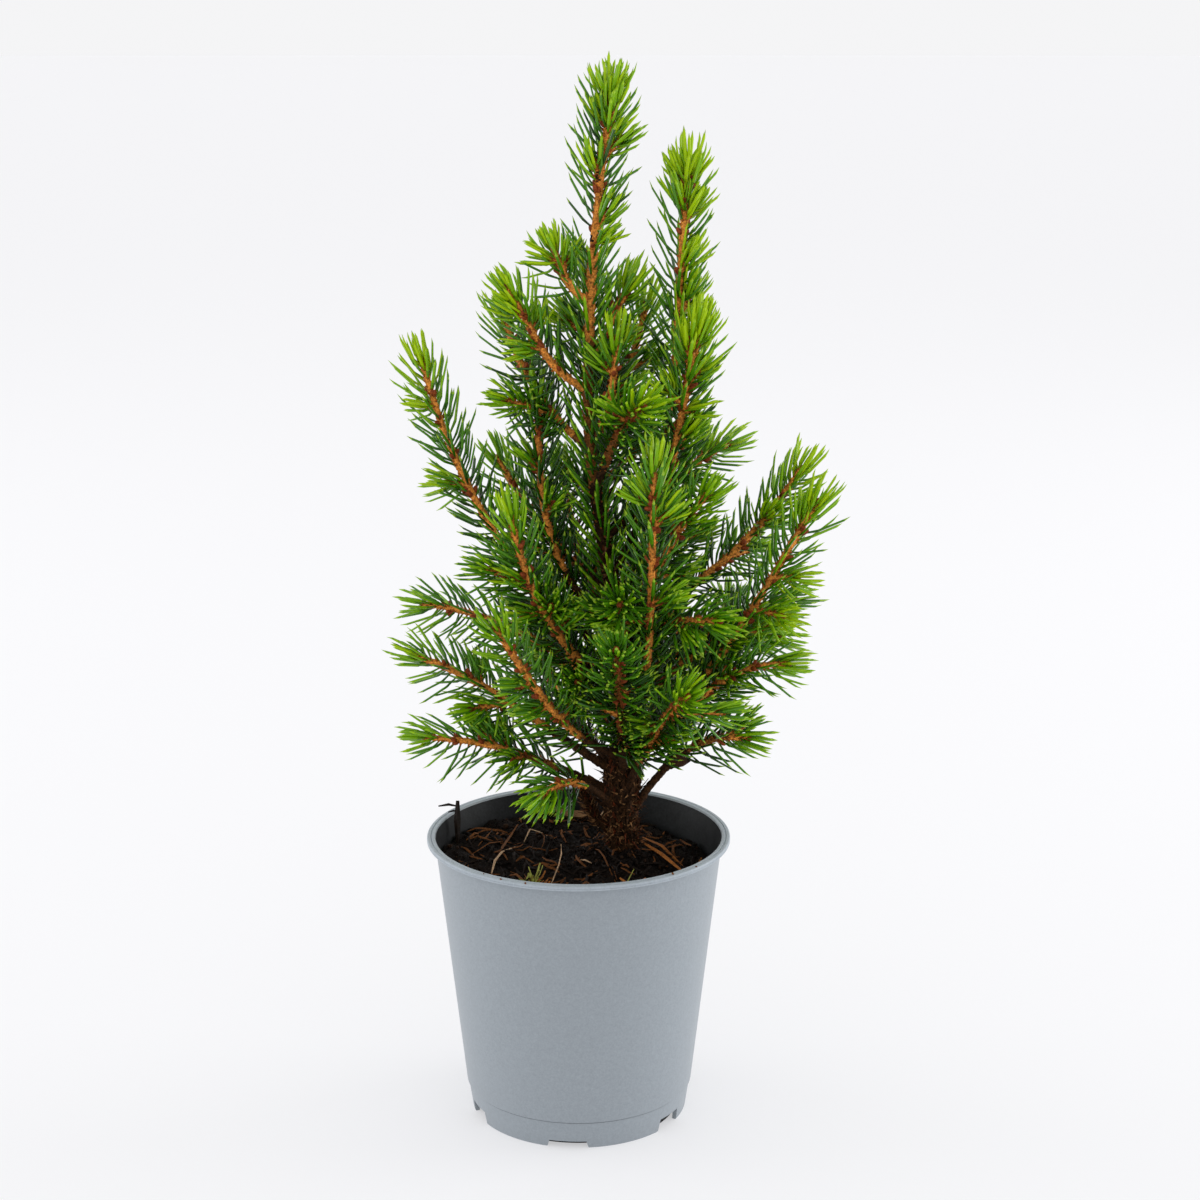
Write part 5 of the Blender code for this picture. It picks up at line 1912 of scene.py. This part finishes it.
def paint_pot(mesh):
    """Gives the inside the dark slot, the underside too as painted shade, and the lip a painted highlight.
    """
    for face in mesh.polygons:
        radius, height = face.center.xy.length, face.center.z
        wall = wall_radius(height) if height > STEP_HEIGHT else POT_FOOT_RADIUS
        within = radius < wall - POT_WALL * INSIDE_DEPTH
        # Faces under the floor, the rib behind the openings among them, are painted dark: painted shade
        under = radius < OPENING_REACH[0] and FACE_MARGIN < height < FLOOR_TOP
        above = within and FLOOR_TOP - FACE_MARGIN < height < POT_HEIGHT - LIP_MARGIN
        face.material_index = INSIDE if under or above else OUTSIDE
        if height > POT_HEIGHT - LIP_HEIGHT and radius > POT_TOP_RADIUS + FACE_MARGIN:
            face.material_index = LIP


def grey_plastic(pot):
    return mottled(
        "Speckled grey plastic",
        shades(pot.outside, 0.90, 1.10),
        roughness=0.42,
        sizes=(pot.speckle * 2.2, pot.speckle),
        relief=0.00002,
        spread=(0.30, 0.70),
        specular=0.4,
    )


# Dark inside of the pot; the same dark under the floor is painted shade
def dark_inside_and_painted_shade(pot):
    return mottled(
        "Charcoal inner plastic",
        shades(pot.inside, 0.7, 1.5),
        roughness=0.5,
        sizes=(0.004, 0.0007),
        relief=0.00002,
        fine_share=0.5,
    )


# The lip is painted lighter than the wall: a painted highlight
def lip_painted_highlight(pot):
    colours = shades(pot.outside, 1.15, 1.42)
    sizes = (pot.speckle * 6, pot.speckle)
    return mottled("Worn plastic of the lip", colours, roughness=0.36, sizes=sizes, relief=0.00002)


class POTTEDCONIFER_OT_pot(bpy.types.Operator):
    """Adds the moulded pot with its lip, step, openings and dark inside"""

    bl_idname = "potted_conifer.pot"
    bl_label = "Pot"

    def execute(self, context):
        pot = settings("pot")
        profile = inside_profile() + lip_profile() + outside_profile() + underside_profile()
        mesh = mesh_from_bmesh("pot_shell", spun(profile, POT_STEPS))
        materials = [grey_plastic(pot), dark_inside_and_painted_shade(pot), lip_painted_highlight(pot)]
        piece = link_piece("pot_shell", mesh, materials, "pot_plastic", "pot")
        cut_away(piece, pot_openings())
        paint_pot(piece.data)
        smooth(piece.data, degrees=32)
        return {"FINISHED"}


# The soil and what lies on it


def soil_height(x, y):
    """The soil's surface: a slope down to the right, low lumps and a mound round the trunk."""
    foot = Vector(TRUNK_LINE[0][1:])
    away = (Vector((x, y)) - foot).length
    across, deep, fine = LUMP_WAVES
    lumps = math.sin(across * x + LUMP_SHIFTS[0]) * math.cos(deep * y - LUMP_SHIFTS[1])
    lumps += FINE_LUMP * math.sin(fine * (x + y))
    slope = -SOIL_SLOPE * (x - foot.x) + SOIL_SLOPE_BACK * (y - foot.y)
    settle = ramp(away - SEAT_RADIUS, SEAT_FADE)
    mound = MOUND_HEIGHT * hump(away, MOUND_RADIUS)
    return SOIL_LEVEL - SEAT_DEPTH + settle * (slope + SOIL_LUMP * (lumps - LUMP_MIDDLE)) + mound


def soil_relief(x, y):
    """The soil's crumbly relief at a place."""
    spot = Vector((x, y, 0.0))
    near = noise.voronoi(spot / SOIL_CELL)[0][0]
    cells = SOIL_CELL_HEIGHT * (1 - min(1.0, near * SOIL_CELL_STEEPNESS))
    return cells + SOIL_GRAIN_HEIGHT * grain(spot / SOIL_GRAIN)


def soil_bmesh():
    """The plug of soil, whose surface meets the pot's wall."""
    floor = SOIL_LOW[2]
    edge = wall_radius(SOIL_LEVEL) - POT_WALL - GAP
    foot = POT_STEP_RADIUS - POT_WALL - PLUG_INSET - GAP
    profile = [(edge * ring / SOIL_RINGS, SOIL_LEVEL) for ring in range(SOIL_RINGS + 1)]
    profile += corner_points(foot, floor, PLUG_CORNER) + [(0.0, floor)]
    bm = spun(profile, SOIL_STEPS)
    for vert in bm.verts:
        if vert.co.z <= SOIL_LEVEL - SOIL_TOP_BAND:
            continue
        height = soil_height(vert.co.x, vert.co.y)
        radius = vert.co.xy.length
        if radius > edge * SOIL_EDGE:
            vert.co.xy *= (edge + wall_radius(height) - wall_radius(SOIL_LEVEL)) / radius
            vert.co.z = height
        else:
            vert.co.z = height + soil_relief(vert.co.x, vert.co.y)
    return bm


def crumb_ball():
    """The form of every crumb, as points and faces."""
    bm = bmesh.new()
    bmesh.ops.create_icosphere(bm, subdivisions=1, radius=1.0)
    return shape_of(bm)


def crumb_shape(ball, place, size, chance, slot):
    """A crumb as a squashed and turned icosphere with uneven corners."""
    points, faces = ball
    axis = (chance.uniform(-1, 1), chance.uniform(-1, 1), chance.uniform(-1, 1))
    turn = Quaternion((*axis, 1)).normalized()
    depths, heights = CRUMB_SQUASH
    squash = Vector((1.0, chance.uniform(*depths), chance.uniform(*heights))) * size
    moved = [place + turn @ (point * chance.uniform(*CRUMB_CORNERS) * squash) for point in points]
    return moved, faces, [slot] * len(faces)


def stick_shape(path, radius, slot, flat=1.0):
    """A thin four-sided stick along a path, tapered at both ends."""
    points, faces = [], []
    last = len(path) - 1
    for k, spot in enumerate(path):
        along = (path[min(k + 1, last)] - path[max(k - 1, 0)]).normalized()
        across = along.cross(Vector((0, 0, 1)))
        across = across.normalized() if across.length > UPRIGHT else Vector((1, 0, 0))
        up = across.cross(along)
        thick = radius * (STICK_END if k in (0, last) else 1.0)
        side, high = across * thick, up * thick * flat
        points += [spot + side, spot + high, spot - side, spot - high]
    for k in range(last):
        for side in range(4):
            a, b = k * 4 + side, k * 4 + (side + 1) % 4
            faces.append((a, a + 4, b + 4, b))
    faces += [(0, 1, 2, 3), (last * 4 + 3, last * 4 + 2, last * 4 + 1, last * 4)]
    return points, faces, [slot] * len(faces)


def on_soil(x, y, lift=0.0):
    """The point over a place on the soil's relief."""
    return Vector((x, y, soil_height(x, y) + RELIEF_LIFT + lift))


def soil_spot(chance, inset):
    """A random place on the soil."""
    radius = (wall_radius(SOIL_LEVEL) - POT_WALL - inset) * math.sqrt(chance.random())
    spot = direction(chance.uniform(0, 360), 0) * radius
    return spot.x, spot.y


def crumbs(count, size, chance):
    """Crumbs of many sizes, some of them gathered round the trunk."""
    ball = crumb_ball()
    shapes = []
    foot = Vector(TRUNK_LINE[0][1:])
    least, more = CRUMB_SIZES
    for k in range(count):
        x, y = soil_spot(chance, LITTER_INSET)
        if k % TRUNK_CRUMBS == 0:
            near = direction(chance.uniform(0, 360), 0) * chance.uniform(*TRUNK_CRUMB_RING)
            x, y = foot.x + near.x, foot.y + near.y
        grain_size = size * (least + more * chance.random() ** CRUMB_RARITY)
        slot = 0 if chance.random() < DARK_CRUMBS else 1
        place = on_soil(x, y, grain_size * CRUMB_SINK)
        shapes.append(crumb_shape(ball, place, grain_size, chance, slot))
    return shapes


def fibre_path(chance):
    """The bowed line of a fibre that lies on the soil, inside the pot's wall."""
    x, y = soil_spot(chance, FIBRE_INSET)
    heading = direction(chance.uniform(0, 360), 0)
    length = chance.uniform(*FIBRE_LENGTHS)
    bow = heading.cross(Vector((0, 0, 1))) * chance.uniform(-FIBRE_BOW, FIBRE_BOW) * length
    furthest = wall_radius(SOIL_LEVEL) - POT_WALL - FIBRE_WALL_GAP
    path = []
    for k in range(FIBRE_POINTS):
        t = k / (FIBRE_POINTS - 1)
        spot = Vector((x, y, 0)) + heading * length * (t - 0.5) + bow * math.sin(math.pi * t)
        if spot.length > furthest:
            spot *= furthest / spot.length
        path.append(on_soil(spot.x, spot.y, chance.uniform(0.0, FIBRE_LIFT)))
    return path


def fibres(count, chance):
    """Short dark shreds of bark and root, lying this way and that."""
    shapes = []
    for k in range(count):
        path = fibre_path(chance)
        slot = chance.choice(FIBRE_SLOTS)
        shapes.append(stick_shape(path, chance.uniform(*FIBRE_RADII), slot))
    return shapes


def moss(greens, chance):
    """A small tuft of moss, as short flat blades that lean out from one place."""
    shapes = []
    shortest, longer = MOSS_LENGTHS
    for k in range(MOSS_BLADES):
        out = direction(chance.uniform(0, 360), 0)
        near = Vector((*MOSS_SPOT, 0)) + out * chance.uniform(0.0, MOSS_SPREAD)
        root = on_soil(near.x, near.y)
        aside = direction(chance.uniform(0, 360), 0) * chance.uniform(*MOSS_LEAN)
        lean = (Vector((0, 0, 1)) + aside).normalized()
        length = shortest + longer * chance.random() ** 2
        path = [root, root + lean * length * 0.5, root + lean * length + out * length * MOSS_CURL]
        slot = greens[0] if chance.random() < MOSS_GREENS else greens[1]
        shapes.append(stick_shape(path, chance.uniform(*MOSS_RADII), slot, MOSS_FLATNESS))
    return shapes


def listed_litter(names):
    """The straws and twigs of LITTER, with the slots of their colours."""
    shapes = []
    for colour, half, places in LITTER:
        path = [on_soil(x / 1000, y / 1000, z / 1000 - LITTER_SINK) for x, y, z in places]
        shapes.append(stick_shape(path, half / 1000, names.index(colour), LITTER_FLATNESS))
    return shapes


def lip_specks(slot, chance):
    """The few crumbs on the pot's lip."""
    ball = crumb_ball()
    shapes = []
    for heading, radius, size in LIP_SPECKS:
        place = direction(heading, 0) * radius / 1000
        place.z = POT_HEIGHT + size / 1000 * LIP_SPECK_LIFT
        shapes.append(crumb_shape(ball, place, size / 1000, chance, slot))
    return shapes


# Moist soil, made darker still as painted shade
def moist_soil_with_painted_shade(soil):
    colours = shades(soil.soil, 0.35, 2.2)
    return mottled("Moist soil", colours, roughness=0.8, sizes=(0.0035, 0.0008), relief=0.0005)


def brown_crumbs(soil):
    colours = shades(soil.soil, 1.5, 9.0)
    sizes = (0.003, 0.0007)
    return mottled("Brown crumbs", colours, roughness=0.8, sizes=sizes, relief=0.0003, fine_share=0.5)


def litter_colours(soil):
    """The colours of the litter by name, in the order of its slots."""
    straw = tuple(soil.straw)
    return {
        "dark": scaled(soil.soil, 2.0),
        "brown": scaled(straw, 0.36),
        "orange": straw,
        "moss": tuple(soil.moss),
        "pale": blend(straw, PALE_STRAW, 0.6),
        "bark": blend(scaled(straw, 0.5), BARK_CHIP, 0.5),
    }


def litter_material(name, colour):
    colours = shades(colour, 0.55, 1.3)
    label = name.capitalize() + " litter"
    return mottled(label, colours, roughness=0.65, sizes=(0.002, 0.0005), relief=0.0001, fine_share=0.5)


class POTTEDCONIFER_OT_soil(bpy.types.Operator):
    """Adds the soil's surface, its crumbs and the straws, twigs and moss on it"""

    bl_idname = "potted_conifer.soil"
    bl_label = "Soil"

    def execute(self, context):
        soil = settings("soil")
        chance = random.Random(SOIL_SEED)
        earth, brown = moist_soil_with_painted_shade(soil), brown_crumbs(soil)
        mesh = mesh_from_bmesh("soil_surface", soil_bmesh())
        smooth(mesh, degrees=70)
        link_piece("soil_surface", mesh, [earth], "potting_soil", "soil")
        mesh = joined_mesh("soil_crumbs", crumbs(soil.crumbs, soil.crumb_size, chance))
        link_piece("soil_crumbs", mesh, [earth, brown], "potting_soil")
        colours = litter_colours(soil)
        names = list(colours)
        greens = (names.index("moss"), names.index("orange"))
        shapes = fibres(soil.fibres, chance) + moss(greens, chance) + listed_litter(names)
        shapes += lip_specks(names.index("brown"), chance)
        materials = [litter_material(name, colour) for name, colour in colours.items()]
        link_piece("soil_litter", joined_mesh("soil_litter", shapes), materials, "potting_soil")
        return {"FINISHED"}


# The stage


def area_light(name, place, power):
    """A soft light at a place, turned to the crown's middle."""
    light = bpy.data.lights.new(name, "AREA")
    light.shape = "RECTANGLE"
    light.size, light.size_y = LIGHT_SIZE
    light.energy = power
    made = bpy.data.objects.new(name, light)
    made.location = place
    made.rotation_euler = (Vector(LIGHT_AIM) - Vector(place)).to_track_quat("-Z", "Y").to_euler()
    bpy.context.scene.collection.objects.link(made)


def add_floor(stage):
    """A wide round floor, whose far edge meets the pale surroundings."""
    bm = bmesh.new()
    bmesh.ops.create_circle(bm, cap_ends=True, segments=FLOOR_SIDES, radius=FLOOR_RADIUS)
    mesh = mesh_from_bmesh("studio_floor", bm)
    colour = scaled(stage.floor, 1 - stage.floor_glow)
    pale = plain_material("Pale floor", colour, roughness=0.9, specular=0.05)
    shader = pale.node_tree.nodes["Principled BSDF"]
    shader.inputs["Emission Color"].default_value = (*stage.floor, 1.0)
    shader.inputs["Emission Strength"].default_value = stage.floor_glow
    mesh.materials.append(pale)
    floor = bpy.data.objects.new("studio_floor", mesh)
    bpy.context.scene.collection.objects.link(floor)


def add_surroundings():
    """The pale light from all sides."""
    world = bpy.data.worlds.new("Soft studio")
    world.use_nodes = True
    background = world.node_tree.nodes["Background"]
    background.inputs["Color"].default_value = (*SKY_COLOUR, 1.0)
    background.inputs["Strength"].default_value = SKY_STRENGTH
    bpy.context.scene.world = world


def add_camera(stage):
    """The camera in front of the pot, looking down a little."""
    lens = bpy.data.cameras.new("camera")
    lens.sensor_width = SENSOR_WIDTH
    lens.lens = stage.lens
    lens.clip_start = CLIP_START
    camera = bpy.data.objects.new("camera", lens)
    camera.location = (0.0, -stage.distance, stage.height)
    camera.rotation_euler = (math.pi / 2 - stage.pitch, 0.0, -stage.turn)
    bpy.context.scene.collection.objects.link(camera)
    bpy.context.scene.camera = camera


class POTTEDCONIFER_OT_stage(bpy.types.Operator):
    """Adds the pale floor, the soft lights and the camera"""

    bl_idname = "potted_conifer.stage"
    bl_label = "Stage"

    def execute(self, context):
        stage = settings("stage")
        add_floor(stage)
        add_surroundings()
        for name, place, power in SIDE_LIGHTS:
            area_light(name, place, power)
        add_camera(stage)
        context.scene.view_settings.view_transform = "Standard"
        context.scene.view_settings.look = "None"
        return {"FINISHED"}


class POTTEDCONIFER_PT_panel(bpy.types.Panel):
    """Lists the pieces in the sidebar"""

    bl_idname = "POTTEDCONIFER_PT_panel"
    bl_label = "Potted Conifer"
    bl_space_type = "VIEW_3D"
    bl_region_type = "UI"
    bl_category = "Conifer"

    def draw(self, context):
        for group, operator in PIECES:
            box = self.layout.box()
            chosen = settings(group)
            for name in chosen.__annotations__:
                box.prop(chosen, name)
            box.operator(operator.bl_idname)


GROUPS = {
    "needles": NeedleSettings,
    "wood": WoodSettings,
    "pot": PotSettings,
    "soil": SoilSettings,
    "stage": StageSettings,
}
PIECES = (
    ("pot", POTTEDCONIFER_OT_pot),
    ("soil", POTTEDCONIFER_OT_soil),
    ("wood", POTTEDCONIFER_OT_wood),
    ("needles", POTTEDCONIFER_OT_needles),
    ("wood", POTTEDCONIFER_OT_buds),
    ("stage", POTTEDCONIFER_OT_stage),
)


def register():
    for name, group in GROUPS.items():
        bpy.utils.register_class(group)
        setattr(bpy.types.Scene, "potted_conifer_" + name, PointerProperty(type=group))
    for _, operator in PIECES:
        bpy.utils.register_class(operator)
    bpy.utils.register_class(POTTEDCONIFER_PT_panel)


def unregister():
    bpy.utils.unregister_class(POTTEDCONIFER_PT_panel)
    for _, operator in reversed(PIECES):
        bpy.utils.unregister_class(operator)
    for name, group in GROUPS.items():
        delattr(bpy.types.Scene, "potted_conifer_" + name)
        bpy.utils.unregister_class(group)


def main():
    register()
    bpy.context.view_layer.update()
    bpy.ops.potted_conifer.pot()
    bpy.ops.potted_conifer.soil()
    bpy.ops.potted_conifer.wood()
    bpy.ops.potted_conifer.needles()
    bpy.ops.potted_conifer.buds()
    bpy.ops.potted_conifer.stage()


if __name__ == "__main__":
    main()
